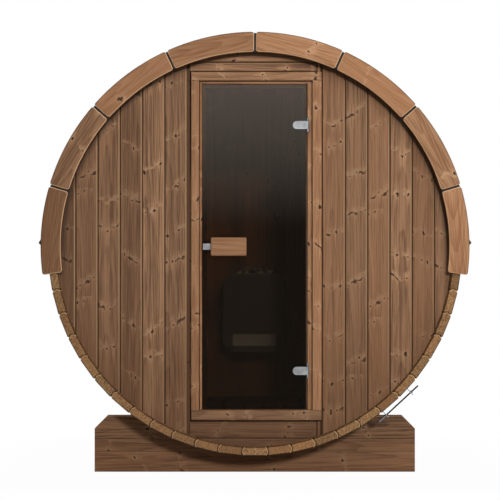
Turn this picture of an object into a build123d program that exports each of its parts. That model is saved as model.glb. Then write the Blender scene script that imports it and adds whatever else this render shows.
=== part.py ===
"""Barrel sauna: a lying barrel of bead-and-cove staves on two cradles, with a framed glass
door in its front wall, a shingled roof over its upper half and a small heater inside.

Millimetres. +X is right and +Z is up for someone who faces the door, and +Y runs from the
door to the back wall. Every shape is drawn about the barrel's own axis (the Y axis), and
write() lifts it by axis_height, so that the finished part stands on z = 0.
"""

from build123d import *
import math
import os

# ---- Fits ----
FIT = 0.4                    # between two pieces that seat on each other
STAVE_GAP = 0.6              # between neighbouring staves
CUT_OVERRUN = 1.0            # a cutter reaches this far past the face that it cuts

# ---- Barrel ----
barrel_length = 1800.0
ground_gap = 133.0           # under the barrel's lowest stave
stave_count = 53
stave_thickness = 42.0
stave_outer = 989.0          # axis to the flat outer face of a stave
stave_chamfer = 4.5          # on all four long edges
bead_rise = 6.0
bead_flats = 3               # the rounding is planed in this many flats
stave_groups = (0.12, 0.38, 0.65, 0.85, 1)  # each group's end, as a share of half the ring

# ---- End walls, housed in a flat groove across the inside of each stave ----
wall_recess = 50.0           # stave ends to the wall's outer face
wall_thickness = 42.0
croze_depth = 13.0
croze_end_room = 1.0         # wall edge to the bottom of the groove
board_pitch = 107.0
starter_board_extra = 5.0    # the first board right of the door is this much wider
board_groove = 6.5           # depth of the V where two wall boards meet
tongue_length = 16.6
tongue_thickness = 12.0

# ---- Door frame ----
opening_left = -329.0        # wall boards stop here
opening_right = 320.0
over_door_height = 110.0     # top of the frame to the top of the wall
over_door_joint = 44.5       # height of the lower board over the door
under_door_height = 130.0
under_door_joint = 80.0
frame_face = 43.5            # width of a jamb's front face
head_face = 41.0
sill_height = 54.5
frame_stop = 35.0            # rebate stop, behind the glass
frame_proud = 10.0           # frame in front of the wall, and behind it
frame_round = 3.0

# ---- Glass door ----
glass_thickness = 8.0
glass_set_back = 10.5        # frame's front face to the glass
glass_side_gap = 13.9        # latch side
glass_top_gap = 19.0
glass_bottom_gap = 5.5
glass_chamfer = 1.0
swing_gap = 5.5              # clearance behind the closed door
hinge_side_gap = 31.0        # frame's rebate to the glass edge, where the hinges stand
hinge_axis_gap = 8.6         # glass edge to the hinge axis
top_hinge_inset = 195.0      # end of the glass to the middle of the hinge
bottom_hinge_inset = 182.5
knuckle_diameter = 12.5
knuckle_gap = 0.5
hinge_height = 71.0
hinge_pin_diameter = 6.0
hinge_pin_clearance = 0.1    # radial
clamp_height = 39.0
clamp_length = 64.0
clamp_thickness = 6.0
rear_clamp_thickness = 5.0
leaf_plate = 2.0

# ---- Door handles, latch ----
handle_length = 171.0
handle_height = 88.6
handle_thickness = 22.0
handle_round = 6.0
handle_flats = 2             # each rounded edge is sanded in this many flats
handle_above_floor = 847.0
handle_from_edge = 43.0      # glass edge to the handle
spacer_length = 18.0
spacer_width = 20.0
spacer_inset = 30.0
latch_height = 30.0
latch_thickness = 3.0
latch_from_edge = 4.0

# ---- Roof over the upper half ----
deck_thickness = 16.0
shingle_butt = 5.5
shingle_tip = 2.0
shingle_courses = 10
course_gap_angle = 0.03      # between two courses, in degrees
deck_joint_angle = 0.02      # from the ridge to each deck, in degrees
ridge_half_angle = 7.0
ridge_thickness = 4.5
eave_z = 62.0                # lower end of the deck, above the axis
drip_reach = 26.0            # folded eave drip beyond the deck
drip_height = 56.0
drip_nose_height = 22.0      # above the drip's lower edge
drip_sheet = 1.5

# ---- Curved trim boards on both ends ----
trim_rise = 12.0             # centre of the trim's curve above the barrel's axis
trim_overhang = 20.0         # trim's inner edge inside the staves' inner faces
trim_width = 96.0
trim_thickness = 22.0
trim_boards_each_side = 4
trim_board_angle = 24.5
trim_gap = 6.0
trim_corner = 10.0
corner_flats = 2             # each rounded corner is sanded in this many flats

# ---- Steel bands and their tensioners ----
band_width = 20.0
band_thickness = 1.0
band_angle = -47.2           # tensioner, from +X, in degrees
lug_spread = 78.0            # each lug from the middle of the tensioner
lug_thickness = 4.0
lug_height = 42.0
rod_diameter = 8.0
rod_flats = 16               # the rod is drawn with this many sides
rod_length = 256.0
rod_above_staves = 28.0
rod_slot_room = 0.5          # all round the rod
rod_slot_length = 16.0
nut_across_flats = 13.0
nut_thickness = 6.5
nut_seat = 0.1               # nut to lug

# ---- Cradles ----
front_cradle_width = 1612.0
back_cradle_width = 1310.0
cradle_height = 279.5
cradle_chamfer = 61.5
cradle_thickness = 90.0
cradle_set_back = 480.0      # stave ends to each cradle

# ---- Floor ----
floor_rise = 110.0           # floor above the lowest stave
slat_width = 98.0
slat_gap = 10.0
slat_thickness = 24.0
slat_chamfer = 2.0
bearer_count = 3
bearer_width = 45.0
floor_end_room = 4.0

# ---- Heater on the back wall ----
heater_top_width = 283.0
heater_width = 350.0
heater_base_width = 268.0
heater_depth = 280.0
heater_floor_gap = 266.0
heater_base_height = 35.0
heater_body_height = 343.0
heater_taper_height = 57.0
heater_wall_gap = 40.0
heater_pocket_wall = 16.0
heater_pocket_depth = 70.0
stone_mound = 52.0
stone_slope = 50.0           # of the mound's sides, from upright, in degrees
hanger_width = 30.0
hanger_spread = 200.0
hanger_inset = 60.0          # from the body's upper and lower ends
strip_width = 237.0
strip_height = 64.0
strip_thickness = 3.0
strip_rise = 2.0             # above the body's lower end

# ---- Worked out from the sizes above ----
half_length = barrel_length / 2
axis_height = stave_outer + ground_gap
stave_inner = stave_outer - stave_thickness
stave_pitch = 360 / stave_count
stave_slope = math.tan(math.radians(stave_pitch / 2))
stave_corner = math.hypot(
    stave_outer, stave_outer * stave_slope - STAVE_GAP / 2 - stave_chamfer)
croze_radius = stave_inner + croze_depth
wall_radius = croze_radius - croze_end_room
wall_outer_y = half_length - wall_recess
wall_inner_y = wall_outer_y - wall_thickness
wall_middle_y = (wall_outer_y + wall_inner_y) / 2

frame_left = opening_left + tongue_length + FIT
frame_right = opening_right - FIT
frame_top = wall_radius - over_door_height
frame_bottom = under_door_height - wall_radius
frame_front_y = -wall_outer_y - frame_proud
frame_back_y = -wall_inner_y + frame_proud
rebate_left = frame_left + frame_face
rebate_right = frame_right - frame_face
rebate_top = frame_top - head_face
sill_top = frame_bottom + sill_height

glass_front_y = frame_front_y + glass_set_back
glass_back_y = glass_front_y + glass_thickness
stop_front_y = glass_back_y + swing_gap
glass_left = rebate_left + glass_side_gap
glass_right = rebate_right - hinge_side_gap
glass_top = rebate_top - glass_top_gap
glass_bottom = sill_top + glass_bottom_gap
hinge_x = glass_right + hinge_axis_gap
hinge_y = (glass_front_y + glass_back_y) / 2
hinge_heights = (glass_top - top_hinge_inset, glass_bottom + bottom_hinge_inset)

band_inner = stave_outer + FIT
band_corner = (band_inner + band_thickness) / math.cos(math.radians(stave_pitch / 2))
deck_inner = band_corner + FIT
deck_outer = deck_inner + deck_thickness
roof_end_y = half_length - FIT
rod_radius = stave_outer + rod_above_staves

trim_inner = stave_inner - trim_overhang
trim_outer = trim_inner + trim_width
cradle_top = cradle_height - axis_height
floor_z = floor_rise - stave_inner
floor_underside = floor_z - slat_thickness


# ---- Shared shape helpers ----
def write(name, *solids):
    """Lifts the solids to stand on the ground and writes them as one node."""
    lifted = [Pos(0, 0, axis_height) * s for s in solids]
    shape = lifted[0] if len(lifted) == 1 else Compound(children=lifted)
    export_step(shape, f"parts/{name}.step")


def prism(profile, y_from, y_to):
    """A solid with its profile drawn in x and z, from y_from to y_to."""
    plane = Plane((0, y_from, 0), x_dir=(1, 0, 0), z_dir=(0, -1, 0))
    return extrude(plane * profile, amount=y_to - y_from, dir=(0, 1, 0)).solid()


def block(x, y, z):
    """A box between two x, two y and two z values."""
    size = (x[1] - x[0], y[1] - y[0], z[1] - z[0])
    centre = (sum(x) / 2, sum(y) / 2, sum(z) / 2)
    return (Pos(*centre) * Box(*size)).solid()


def middle_of(centre, width):
    """The two ends of a width about its centre."""
    return centre - width / 2, centre + width / 2


def rod(centre, radius, length, direction):
    """A round bar about a centre point, along a direction."""
    return (Plane(centre, z_dir=direction) * Cylinder(radius, length)).solid()


def polar(radius, angle, rise=0.0):
    """The (x, z) point at an angle from +Z towards +X, about a centre raised by rise."""
    a = math.radians(angle)
    return (radius * math.sin(a), rise + radius * math.cos(a))


def sector(inner, outer, start, end, rise=0.0):
    """A ring sector between two angles from +Z towards +X."""
    middle = (start + end) / 2
    points = {(r, a): polar(r, a, rise) for r in (inner, outer) for a in (start, middle, end)}
    edges = [
        ThreePointArc(points[inner, start], points[inner, middle], points[inner, end]),
        Line(points[inner, end], points[outer, end]),
        ThreePointArc(points[outer, end], points[outer, middle], points[outer, start]),
        Line(points[outer, start], points[inner, start]),
    ]
    return make_face(edges)


def in_flats(face, radius, count):
    """The face with each corner arc of one radius drawn as a few short flats."""
    edges = []
    for edge in face.edges():
        if edge.geom_type == GeomType.CIRCLE and math.isclose(edge.radius, radius):
            edges.append(Polyline(*[edge @ (n / count) for n in range(count + 1)]))
        else:
            edges.append(edge)
    return make_face(edges)


def stave_outline(to_flat):
    """A face with one flat side for each stave, at a distance from the axis to its flats."""
    corner = to_flat / math.cos(math.radians(stave_pitch / 2))
    angles = [180 + (n + 0.5) * stave_pitch for n in range(stave_count)]
    return make_face(Polyline(*[polar(corner, a) for a in angles], close=True))


# ---- Staves ----
def stave_edge(side, joint):
    """One long edge of a stave that stands at the top of the barrel, from its inner to its
    outer face. side is -1 or 1 for the edge's x, and joint is "bead" or "cove"."""
    inset = STAVE_GAP / 2
    inner = Vector(side * (stave_inner * stave_slope - inset), stave_inner)
    outer = Vector(side * (stave_outer * stave_slope - inset), stave_outer)
    along = (outer - inner).normalized()
    outward = Vector(along.Y, -along.X) * side
    middle = (inner + outer) * 0.5 + outward * (bead_rise if joint == "bead" else -bead_rise)
    inner_face = inner - Vector(side * stave_chamfer, 0)
    outer_face = outer - Vector(side * stave_chamfer, 0)
    low, high = inner + along * stave_chamfer, outer - along * stave_chamfer
    curve = ThreePointArc(low, middle, high)
    flats = [curve @ (n / bead_flats) for n in range(bead_flats + 1)]
    return inner_face, outer_face, [Polyline(inner_face, *flats, outer_face)]


def stave(left_joint, right_joint):
    """A stave at the top of the barrel, with the two grooves that house the end walls."""
    left_inner, left_outer, left_edges = stave_edge(-1, left_joint)
    right_inner, right_outer, right_edges = stave_edge(1, right_joint)
    faces = [Line(left_inner, right_inner), Line(left_outer, right_outer)]
    board = prism(make_face(left_edges + right_edges + faces), -half_length, half_length)
    full_width = stave_outer * stave_slope + bead_rise
    groove = (wall_inner_y - FIT, wall_outer_y + FIT)
    cutter = block((-full_width, full_width), groove, (stave_inner - CUT_OVERRUN, croze_radius))
    return (board - cutter - mirror(cutter, about=Plane.XZ)).solid()


def make_staves():
    """Staves are laid from the bottom one up, with the bead upwards so that it sheds
    water. The last one on the left has two coves and closes the ring."""
    last = stave_count // 2
    kinds = {
        "bottom": stave("bead", "bead"),
        "right": stave("bead", "cove"),
        "left": stave("cove", "bead"),
        "closing": stave("cove", "cove"),
    }

    def placed(number):
        kind = "bottom" if number == 0 else "right" if number > 0 else "left"
        kind = "closing" if number == -last else kind
        return Rot(0, 180 - number * stave_pitch, 0) * kinds[kind]

    bounds = [round(last * share) for share in stave_groups]
    write("staves_bottom", *[placed(n) for n in range(-bounds[0], bounds[0] + 1)])
    names = ("staves_lower", "staves_side", "staves_upper")
    for name, low, high in zip(names, bounds, bounds[1:]):
        write(f"{name}_right", *[placed(n) for n in range(low + 1, high + 1)])
        write(f"{name}_left", *[placed(-n) for n in range(low + 1, high + 1)])
    top = range(bounds[3] + 1, last + 1)
    write("staves_top", *[placed(n) for n in top], *[placed(-n) for n in top])


# ---- End walls ----
def wall_piece(x, z):
    """The part of the front wall's disc between two x and two z values."""
    disc = rod((0, -wall_middle_y, 0), wall_radius, wall_thickness, (0, 1, 0))
    return (disc & block(x, (-wall_outer_y, -wall_inner_y), z)).solid()


def vee_cutter():
    """An upright bar that cuts the V between two boards in the front wall's outer face."""
    points = [(-board_groove, 0), (0, board_groove), (board_groove, 0)]
    vee = make_face(Polyline(*points, close=True))
    bar = extrude(Plane((0, 0, -wall_radius)) * vee, amount=2 * wall_radius)
    return Pos(0, -wall_outer_y, 0) * bar.solid()


def board_lines(wall, first_x, step):
    """Cuts the V grooves between upright boards, outwards from the first."""
    cutter = vee_cutter()
    x = first_x
    while abs(x) < wall_radius:
        wall -= Pos(x, 0, 0) * cutter
        x += step
    return wall.solid()


def make_front_wall():
    full = (-wall_radius, wall_radius)
    left = wall_piece((-wall_radius, opening_left), full)
    left = board_lines(left, opening_left - board_pitch, -board_pitch)
    tongue_top = math.sqrt(wall_radius ** 2 - opening_left ** 2) - FIT
    tongue = block(
        (opening_left - FIT, opening_left + tongue_length),
        middle_of(-wall_middle_y, tongue_thickness),
        (-tongue_top, tongue_top))
    right = wall_piece((opening_right, wall_radius), full)
    first_joint = opening_right + board_pitch + starter_board_extra
    write("front_wall_left", (left + tongue).solid())
    write("front_wall_right", board_lines(right, first_joint, board_pitch))

    between = (frame_left, frame_right)
    level = Rot(0, 90, 0) * vee_cutter()
    over = wall_piece(between, (frame_top + FIT, wall_radius))
    over -= Pos(0, 0, frame_top + over_door_joint) * level
    under = wall_piece(between, (-wall_radius, frame_bottom - FIT))
    under -= Pos(0, 0, frame_bottom - under_door_joint) * level
    write("front_wall_over_door", over.solid())
    write("front_wall_under_door", under.solid())


def make_back_wall():
    full = (-wall_radius, wall_radius)
    wall = board_lines(wall_piece(full, full), board_pitch / 2, board_pitch)
    wall = board_lines(wall, -board_pitch / 2, -board_pitch)
    write("back_wall", mirror(wall, about=Plane.XZ))


# ---- Door frame ----
def round_front(piece):
    """Rounds the edges of a frame piece's front face."""
    return fillet(piece.faces().sort_by(Axis.Y)[0].edges(), frame_round).solid()


def make_door_frame():
    depth = (frame_front_y, frame_back_y)
    stop_depth = (stop_front_y, frame_back_y)
    jamb_height = (sill_top + FIT, rebate_top - FIT)
    stop_inner = {"left": rebate_left + frame_stop, "right": rebate_right - frame_stop}
    left = round_front(block((frame_left, rebate_left), depth, jamb_height))
    left += block((rebate_left - FIT, stop_inner["left"]), stop_depth, jamb_height)
    right = round_front(block((rebate_right, frame_right), depth, jamb_height))
    right += block((stop_inner["right"], rebate_right + FIT), stop_depth, jamb_height)
    head = round_front(block((frame_left, frame_right), depth, (rebate_top, frame_top)))
    head += block(
        (stop_inner["left"] + FIT, stop_inner["right"] - FIT),
        stop_depth, (rebate_top - frame_stop, rebate_top + FIT))
    sill = round_front(block((frame_left, frame_right), depth, (frame_bottom, sill_top)))
    write("door_frame_left", left.solid())
    write("door_frame_right", right.solid())
    write("door_frame_head", head.solid())
    write("door_frame_sill", sill)


# ---- Glass door ----
def make_glass():
    x, z = (glass_left, glass_right), (glass_bottom, glass_top)
    pane = block(x, (glass_front_y, glass_back_y), z)
    write("door_glass", chamfer(pane.edges(), glass_chamfer).solid())


def clamp_plate(right_x, y_from, y_to, z):
    """A flat plate with a round end towards the middle of the door."""
    radius = clamp_height / 2
    left_x = hinge_x - hinge_axis_gap - clamp_length
    outline = Pos((left_x + radius + right_x) / 2, z) * Rectangle(
        right_x - left_x - radius, clamp_height)
    outline += Pos(left_x + radius, z) * Circle(radius)
    return prism(outline, y_from, y_to)


def hinge_clamp(z):
    """The two plates that grip the glass. The front one carries the knuckle."""
    up = (0, 0, 1)
    bore = hinge_pin_diameter / 2 + hinge_pin_clearance
    front = clamp_plate(hinge_x, glass_front_y - clamp_thickness, glass_front_y, z)
    front += rod((hinge_x, hinge_y, z), knuckle_diameter / 2, clamp_height, up)
    front -= rod((hinge_x, hinge_y, z), bore, hinge_height, up)
    rear_end = rebate_right - frame_stop - swing_gap
    rear = clamp_plate(rear_end, glass_back_y, glass_back_y + rear_clamp_thickness, z)
    return front.solid(), rear


def hinge_leaf(z):
    """The pin, and the ears and plate that carry it on the frame's stop."""
    up = (0, 0, 1)
    radius = knuckle_diameter / 2
    leaf = rod((hinge_x, hinge_y, z), hinge_pin_diameter / 2, hinge_height, up)
    ear = (hinge_height - clamp_height) / 2 - knuckle_gap
    for side in (-1, 1):
        middle = z + side * (hinge_height - ear) / 2
        leaf += rod((hinge_x, hinge_y, middle), radius, ear, up)
        leaf += block((hinge_x - radius, hinge_x + radius), (hinge_y, stop_front_y),
                      (middle - ear / 2, middle + ear / 2))
    leaf += block((hinge_x - radius, hinge_x + radius),
                  (stop_front_y - leaf_plate, stop_front_y),
                  (z - hinge_height / 2, z + hinge_height / 2))
    return leaf.solid()


def make_hinges():
    clamps = [plate for z in hinge_heights for plate in hinge_clamp(z)]
    write("hinge_clamps", *clamps)
    write("hinge_leaves", *[hinge_leaf(z) for z in hinge_heights])


def make_handles():
    """A wooden grip on each side of the glass, on two spacers, and the latch plate."""
    left = glass_left + handle_from_edge
    centre_z = floor_z + handle_above_floor
    x, z = (left, left + handle_length), middle_of(centre_z, handle_height)
    spacers = []
    for name, face, way in (("outside", glass_front_y, -1), ("inside", glass_back_y, 1)):
        near = face + way * spacer_length
        y_middle = near + way * handle_thickness / 2
        section = RectangleRounded(handle_thickness, handle_height, handle_round)
        section = in_flats(Pos(y_middle, centre_z) * section, handle_round, handle_flats)
        grip = extrude(Plane.YZ.offset(left) * section, amount=handle_length)
        write(f"door_handle_{name}", grip.solid())
        for spacer_x in (x[0] + spacer_inset, x[1] - spacer_inset):
            spacers.append(block(middle_of(spacer_x, spacer_width), sorted((face, near)),
                                 middle_of(centre_z, spacer_width)))
    write("handle_spacers", *spacers)
    plate_end = left + spacer_inset - spacer_width / 2 - FIT
    write("door_latch_plate", block((glass_left + latch_from_edge, plate_end),
                                    (glass_front_y - latch_thickness, glass_front_y),
                                    middle_of(centre_z, latch_height)))


# ---- Roof ----
def make_roof():
    eave = 90 - math.degrees(math.asin(eave_z / deck_inner))
    course_angle = (eave - ridge_half_angle / 2) / shingle_courses
    ends = (-roof_end_y, roof_end_y)
    for name, side in (("right", 1), ("left", -1)):
        deck = prism(sector(deck_inner, deck_outer, side * deck_joint_angle, side * eave), *ends)
        write(f"roof_deck_{name}", deck)
        courses = []
        for n in range(shingle_courses):
            low = side * (eave - n * course_angle)
            high = low - side * (course_angle - course_gap_angle)
            courses.append(prism(shingle_course(low, high), *ends))
        write(f"roof_shingles_{name}", *courses)
        write(f"eave_drip_{name}", prism(drip_profile(side), *ends))
    butt = deck_outer + FIT + shingle_butt + FIT
    cap = sector(butt, butt + ridge_thickness, -ridge_half_angle, ridge_half_angle)
    write("ridge_cap", prism(cap, *ends))


def shingle_course(low, high):
    """One course, thick at its lower edge and thin at its upper edge."""
    base = deck_outer + FIT
    middle = (low + high) / 2
    inner = [polar(base, a) for a in (low, middle, high)]
    radii = (base + shingle_butt, base + (shingle_butt + shingle_tip) / 2, base + shingle_tip)
    outer = [polar(r, a) for r, a in zip(radii, (low, middle, high))]
    return make_face([
        ThreePointArc(*inner), Line(inner[2], outer[2]),
        ThreePointArc(*outer), Line(outer[0], inner[0])])


def drip_profile(side):
    """The folded steel drip below the deck. Its nose throws water clear of the staves."""
    top = eave_z - FIT
    bottom = eave_z - drip_height
    face = deck_outer + shingle_butt
    nose = (deck_outer + drip_reach, bottom + drip_nose_height)
    points = [(deck_inner, bottom), (face, bottom), nose, (face, top), (deck_inner, top)]
    outside = make_face(Polyline(*points, close=True))
    inside = offset(outside, amount=-drip_sheet, kind=Kind.INTERSECTION)
    mouth = Pos(deck_inner, (top + bottom) / 2) * Rectangle(
        2 * (drip_sheet + CUT_OVERRUN), top - bottom - 2 * drip_sheet)
    sheet = outside - inside - mouth
    return sheet if side > 0 else mirror(sheet, about=Plane.YZ)


# ---- Curved trim boards ----
def trim_board(start, end):
    """One board on the front, cut to the curve and rounded at its corners."""
    spare = math.degrees(trim_gap / 2 / trim_inner)
    outline = sector(trim_inner, trim_outer, start + spare, end - spare, trim_rise)
    outline = in_flats(fillet(outline.vertices(), trim_corner), trim_corner, corner_flats)
    return prism(outline, -half_length - trim_thickness, -half_length)


def make_trims():
    right = []
    for n in range(trim_boards_each_side):
        right.append(trim_board(n * trim_board_angle, (n + 1) * trim_board_angle))
    left = [mirror(b, about=Plane.YZ) for b in right]
    for name, side in (("right", right), ("left", left)):
        write(f"front_trim_{name}", *side)
        write(f"back_trim_{name}", *[mirror(b, about=Plane.XZ) for b in side])


# ---- Bands and tensioners ----
def make_band(name, y):
    """A steel strap that lies on the staves' flats, open at the tensioner, with a lug
    turned out at either side of the gap and slotted for the rod that draws it tight."""
    width = (y - band_width / 2, y + band_width / 2)
    turn = Rot(0, -band_angle, 0)
    across = (band_inner - lug_height, band_inner + lug_height)
    gap = turn * block(across, width, (-lug_spread, lug_spread))
    strap = prism(stave_outline(band_inner + band_thickness), *width) - gap
    slot = block(middle_of(rod_radius, rod_slot_length),
                 middle_of(y, rod_diameter + 2 * rod_slot_room), middle_of(0, rod_length))
    for side in (-1, 1):
        lug = block(across, width,
                    sorted((side * lug_spread, side * (lug_spread + lug_thickness))))
        strap += turn * (lug - slot)
    write(f"band_{name}", (strap - prism(stave_outline(band_inner), *width)).solid())


def tensioner(y):
    """The threaded rod across the gap, with a nut outside each lug."""
    section = RegularPolygon(rod_diameter / 2, rod_flats)
    shaft = extrude(Plane((rod_radius, y, -rod_length / 2)) * section, amount=rod_length)
    for side in (-1, 1):
        start = lug_spread + lug_thickness + nut_seat
        nut = extrude(RegularPolygon(nut_across_flats / 2, 6, major_radius=False),
                      amount=nut_thickness)
        z = side * start if side > 0 else side * start - nut_thickness
        shaft += Pos(rod_radius, y, z) * nut
    return (Rot(0, -band_angle, 0) * shaft).solid()


def make_bands():
    places = {"front": -wall_middle_y, "back": wall_middle_y}
    for name, y in places.items():
        make_band(name, y)
    write("tensioners", *[tensioner(y) for y in places.values()])


# ---- Cradles ----
def make_cradles():
    """A board on edge under each half of the barrel, cut out to it and chamfered at its
    corners. The back one is the narrower."""
    outer = half_length - cradle_set_back
    inner = outer - cradle_thickness
    for name, width, ends in (("front", front_cradle_width, (-outer, -inner)),
                              ("back", back_cradle_width, (inner, outer))):
        half, ground, cut = width / 2, -axis_height, cradle_chamfer
        points = [(-half, ground), (half, ground), (half, cradle_top - cut),
                  (half - cut, cradle_top), (cut - half, cradle_top), (-half, cradle_top - cut)]
        outline = make_face(Polyline(*points, close=True)) - Circle(stave_corner + FIT)
        write(f"cradle_{name}", prism(outline, *ends))


# ---- Floor ----
def make_floor():
    """Slats from front to back on three bearers. The bearers are cut to the staves."""
    ends = (frame_back_y + floor_end_room, wall_inner_y - floor_end_room)
    half_room = math.sqrt(stave_inner ** 2 - floor_underside ** 2)
    step = slat_width + slat_gap
    slat_count = int((2 * half_room + slat_gap) / step)
    slats = []
    for n in range(slat_count):
        x = (n - (slat_count - 1) / 2) * step
        slat = block(middle_of(x, slat_width), ends, (floor_underside, floor_z))
        slats.append(chamfer(slat.edges().group_by(Axis.Z)[-1], slat_chamfer).solid())
    write("floor_slats", *slats)

    below = Pos(0, floor_underside - stave_inner) * Rectangle(2 * stave_inner, 2 * stave_inner)
    seat = Circle(stave_inner - FIT) & below
    first, last = ends[0] + bearer_width, ends[1] - bearer_width
    spacing = (last - first) / (bearer_count - 1)
    places = [first + n * spacing for n in range(bearer_count)]
    write("floor_bearers", *[prism(seat, *middle_of(y, bearer_width)) for y in places])


# ---- Heater ----
def make_heater():
    """A wall-hung heater: a tapered casing with a pocket of stones in its top."""
    back = wall_inner_y - heater_wall_gap
    front = back - heater_depth
    base_bottom = floor_z + heater_floor_gap
    bottom = base_bottom + heater_base_height
    shoulder = bottom + heater_body_height
    rim = shoulder + heater_taper_height
    top, wide, base = heater_top_width / 2, heater_width / 2, heater_base_width / 2
    half = [(top, rim), (wide, shoulder), (wide, bottom), (base, bottom), (base, base_bottom)]
    points = half + [(-x, z) for x, z in reversed(half)]
    body = prism(make_face(Polyline(*points, close=True)), front, back)
    wall = heater_pocket_wall
    pocket = block((wall - top, top - wall), (front + wall, back - wall),
                   (rim - heater_pocket_depth, rim + CUT_OVERRUN))
    write("heater_body", (body - pocket).solid())

    stones_x, stones_y = 2 * (top - wall - FIT), heater_depth - 2 * (wall + FIT)
    foot = Plane((0, (front + back) / 2, rim)) * Rectangle(stones_x, stones_y)
    mound = extrude(foot, amount=stone_mound, taper=stone_slope)
    mound += extrude(foot, amount=FIT - heater_pocket_depth)
    write("heater_stones", mound.solid())

    strip_z = (bottom + strip_rise, bottom + strip_rise + strip_height)
    write("heater_front_strip",
          block(middle_of(0, strip_width), (front - strip_thickness, front), strip_z))
    hangers = [block(middle_of(x, hanger_width), (back, wall_inner_y),
                     (bottom + hanger_inset, rim - hanger_inset))
               for x in middle_of(0, hanger_spread)]
    write("heater_hangers", *hangers)


os.makedirs("parts", exist_ok=True)
make_staves()
make_front_wall()
make_back_wall()
make_door_frame()
make_glass()
make_hinges()
make_handles()
make_roof()
make_trims()
make_bands()
make_cradles()
make_floor()
make_heater()
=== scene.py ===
"""Looks of the barrel sauna: every board, strap, stone and pane with its finish.

Metres. +X is right and +Z is up for someone who faces the door, and +Y runs from the door to
the back wall. Each board is made lying in its own grain: x along the fibres, y across them
and z out of its face. Those coordinates stay on the mesh as "grain", so that rings, fibres
and knots run through the wood of that one board.
"""

import math
import random

import bmesh
import bpy
from mathutils import Matrix, Vector


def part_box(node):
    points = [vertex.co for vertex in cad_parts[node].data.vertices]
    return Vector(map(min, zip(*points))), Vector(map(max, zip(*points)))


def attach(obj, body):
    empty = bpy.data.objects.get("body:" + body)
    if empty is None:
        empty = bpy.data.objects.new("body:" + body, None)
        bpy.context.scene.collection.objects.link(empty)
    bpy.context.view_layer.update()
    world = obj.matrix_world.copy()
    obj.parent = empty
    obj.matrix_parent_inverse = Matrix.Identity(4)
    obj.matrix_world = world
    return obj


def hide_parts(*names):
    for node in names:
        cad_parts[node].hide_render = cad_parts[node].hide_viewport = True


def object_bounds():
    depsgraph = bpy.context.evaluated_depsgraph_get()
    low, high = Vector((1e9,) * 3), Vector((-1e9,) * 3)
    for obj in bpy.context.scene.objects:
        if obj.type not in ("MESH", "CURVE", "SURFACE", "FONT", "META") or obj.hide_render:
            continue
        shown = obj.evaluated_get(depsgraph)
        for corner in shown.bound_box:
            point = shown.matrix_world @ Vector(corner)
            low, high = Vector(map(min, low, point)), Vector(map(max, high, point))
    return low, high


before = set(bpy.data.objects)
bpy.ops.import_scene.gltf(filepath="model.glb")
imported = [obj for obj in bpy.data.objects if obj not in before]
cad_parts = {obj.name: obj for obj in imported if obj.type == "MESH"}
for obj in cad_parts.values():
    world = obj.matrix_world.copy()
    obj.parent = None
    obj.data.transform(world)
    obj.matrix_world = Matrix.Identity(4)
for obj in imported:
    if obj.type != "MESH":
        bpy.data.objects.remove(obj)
cad_box = [list(corner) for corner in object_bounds()]

MM = 0.001
UP, RIGHT, INWARD = Vector((0, 0, 1)), Vector((1, 0, 0)), Vector((0, 1, 0))

# ---- Sizes of the barrel ----
stave_count = 53
stave_outer = 989 * MM
stave_thickness = 42 * MM
stave_gap = 0.6 * MM
stave_ease = 6 * MM
stave_end_ease = 4 * MM
bead_rise = 6 * MM
bead_steps = 7
croze_depth = 13 * MM
seat_gap = 0.4 * MM

stave_inner = stave_outer - stave_thickness
stave_pitch = math.radians(360 / stave_count)
stave_slope = math.tan(stave_pitch / 2)
half_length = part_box("staves_bottom")[1].y
axis_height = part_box("staves_bottom")[0].z + stave_outer
axis = Vector((0, 0, axis_height))

# ---- Sizes of the end walls ----
wall_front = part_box("front_wall_right")[0].y
wall_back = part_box("front_wall_right")[1].y
wall_thickness = wall_back - wall_front
wall_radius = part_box("back_wall")[1].x
board_pitch = 107 * MM
starter_extra = 5 * MM
board_vee = 6.5 * MM
tongue_length = 16.6 * MM
tongue_thickness = 12 * MM
over_door_joint = 44.5 * MM
under_door_joint = 80 * MM
end_strip_width = 25 * MM      # upright strip right of the boards over and under the door

# ---- Sizes of the door frame ----
frame_face = 43.5 * MM
head_face = 41 * MM
stop_width = 35 * MM
stop_set_back = 24 * MM
stop_groove = 3.5 * MM        # open joint between a jamb and its stop strip
frame_ease = 3 * MM
frame_gap = 6 * MM            # open joint between the frame and the wall, on the left and below

# ---- Sizes of the curved trim boards ----
trim_rise = 12 * MM
trim_inner = stave_inner - 20 * MM
trim_outer = trim_inner + 95.97 * MM
trim_thickness = -half_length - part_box("front_trim_right")[0].y
trim_angle = math.radians(24.5)
trim_count = 4
trim_gap = 9 * MM
trim_corner = 12 * MM
trim_ease = 6 * MM
trim_back_ease = 1 * MM
joint_shade_thickness = 12 * MM
shade_width = 32 * MM         # how far inside the trims the wall gets a painted shadow

# ---- Sizes of the cradles ----
cradle_joints = (102 * MM, 164.5 * MM)
cradle_chamfer = 61.5 * MM
saddle_radius = 990.9 * MM

# ---- Sizes of the tensioners ----
rod_angle = math.radians(-47.2)
rod_radius = stave_outer + 28 * MM
rod_length = 256 * MM
rod_diameter = 8 * MM
thread_pitch = 1.6 * MM
thread_depth = 0.6 * MM
lug_outside = 82 * MM
nut_across = 13 * MM
nut_thickness = 6.5 * MM
sleeve_across = 10.5 * MM


# ---- Shader helpers ----
def paint(red, green, blue):
    """A colour chip, given as the eye reads it from 0 to 255, as the shader's light values."""
    values = [v / 255 for v in (red, green, blue)]
    return tuple(v / 12.92 if v <= 0.04045 else ((v + 0.055) / 1.055) ** 2.4 for v in values) + (1,)


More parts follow.
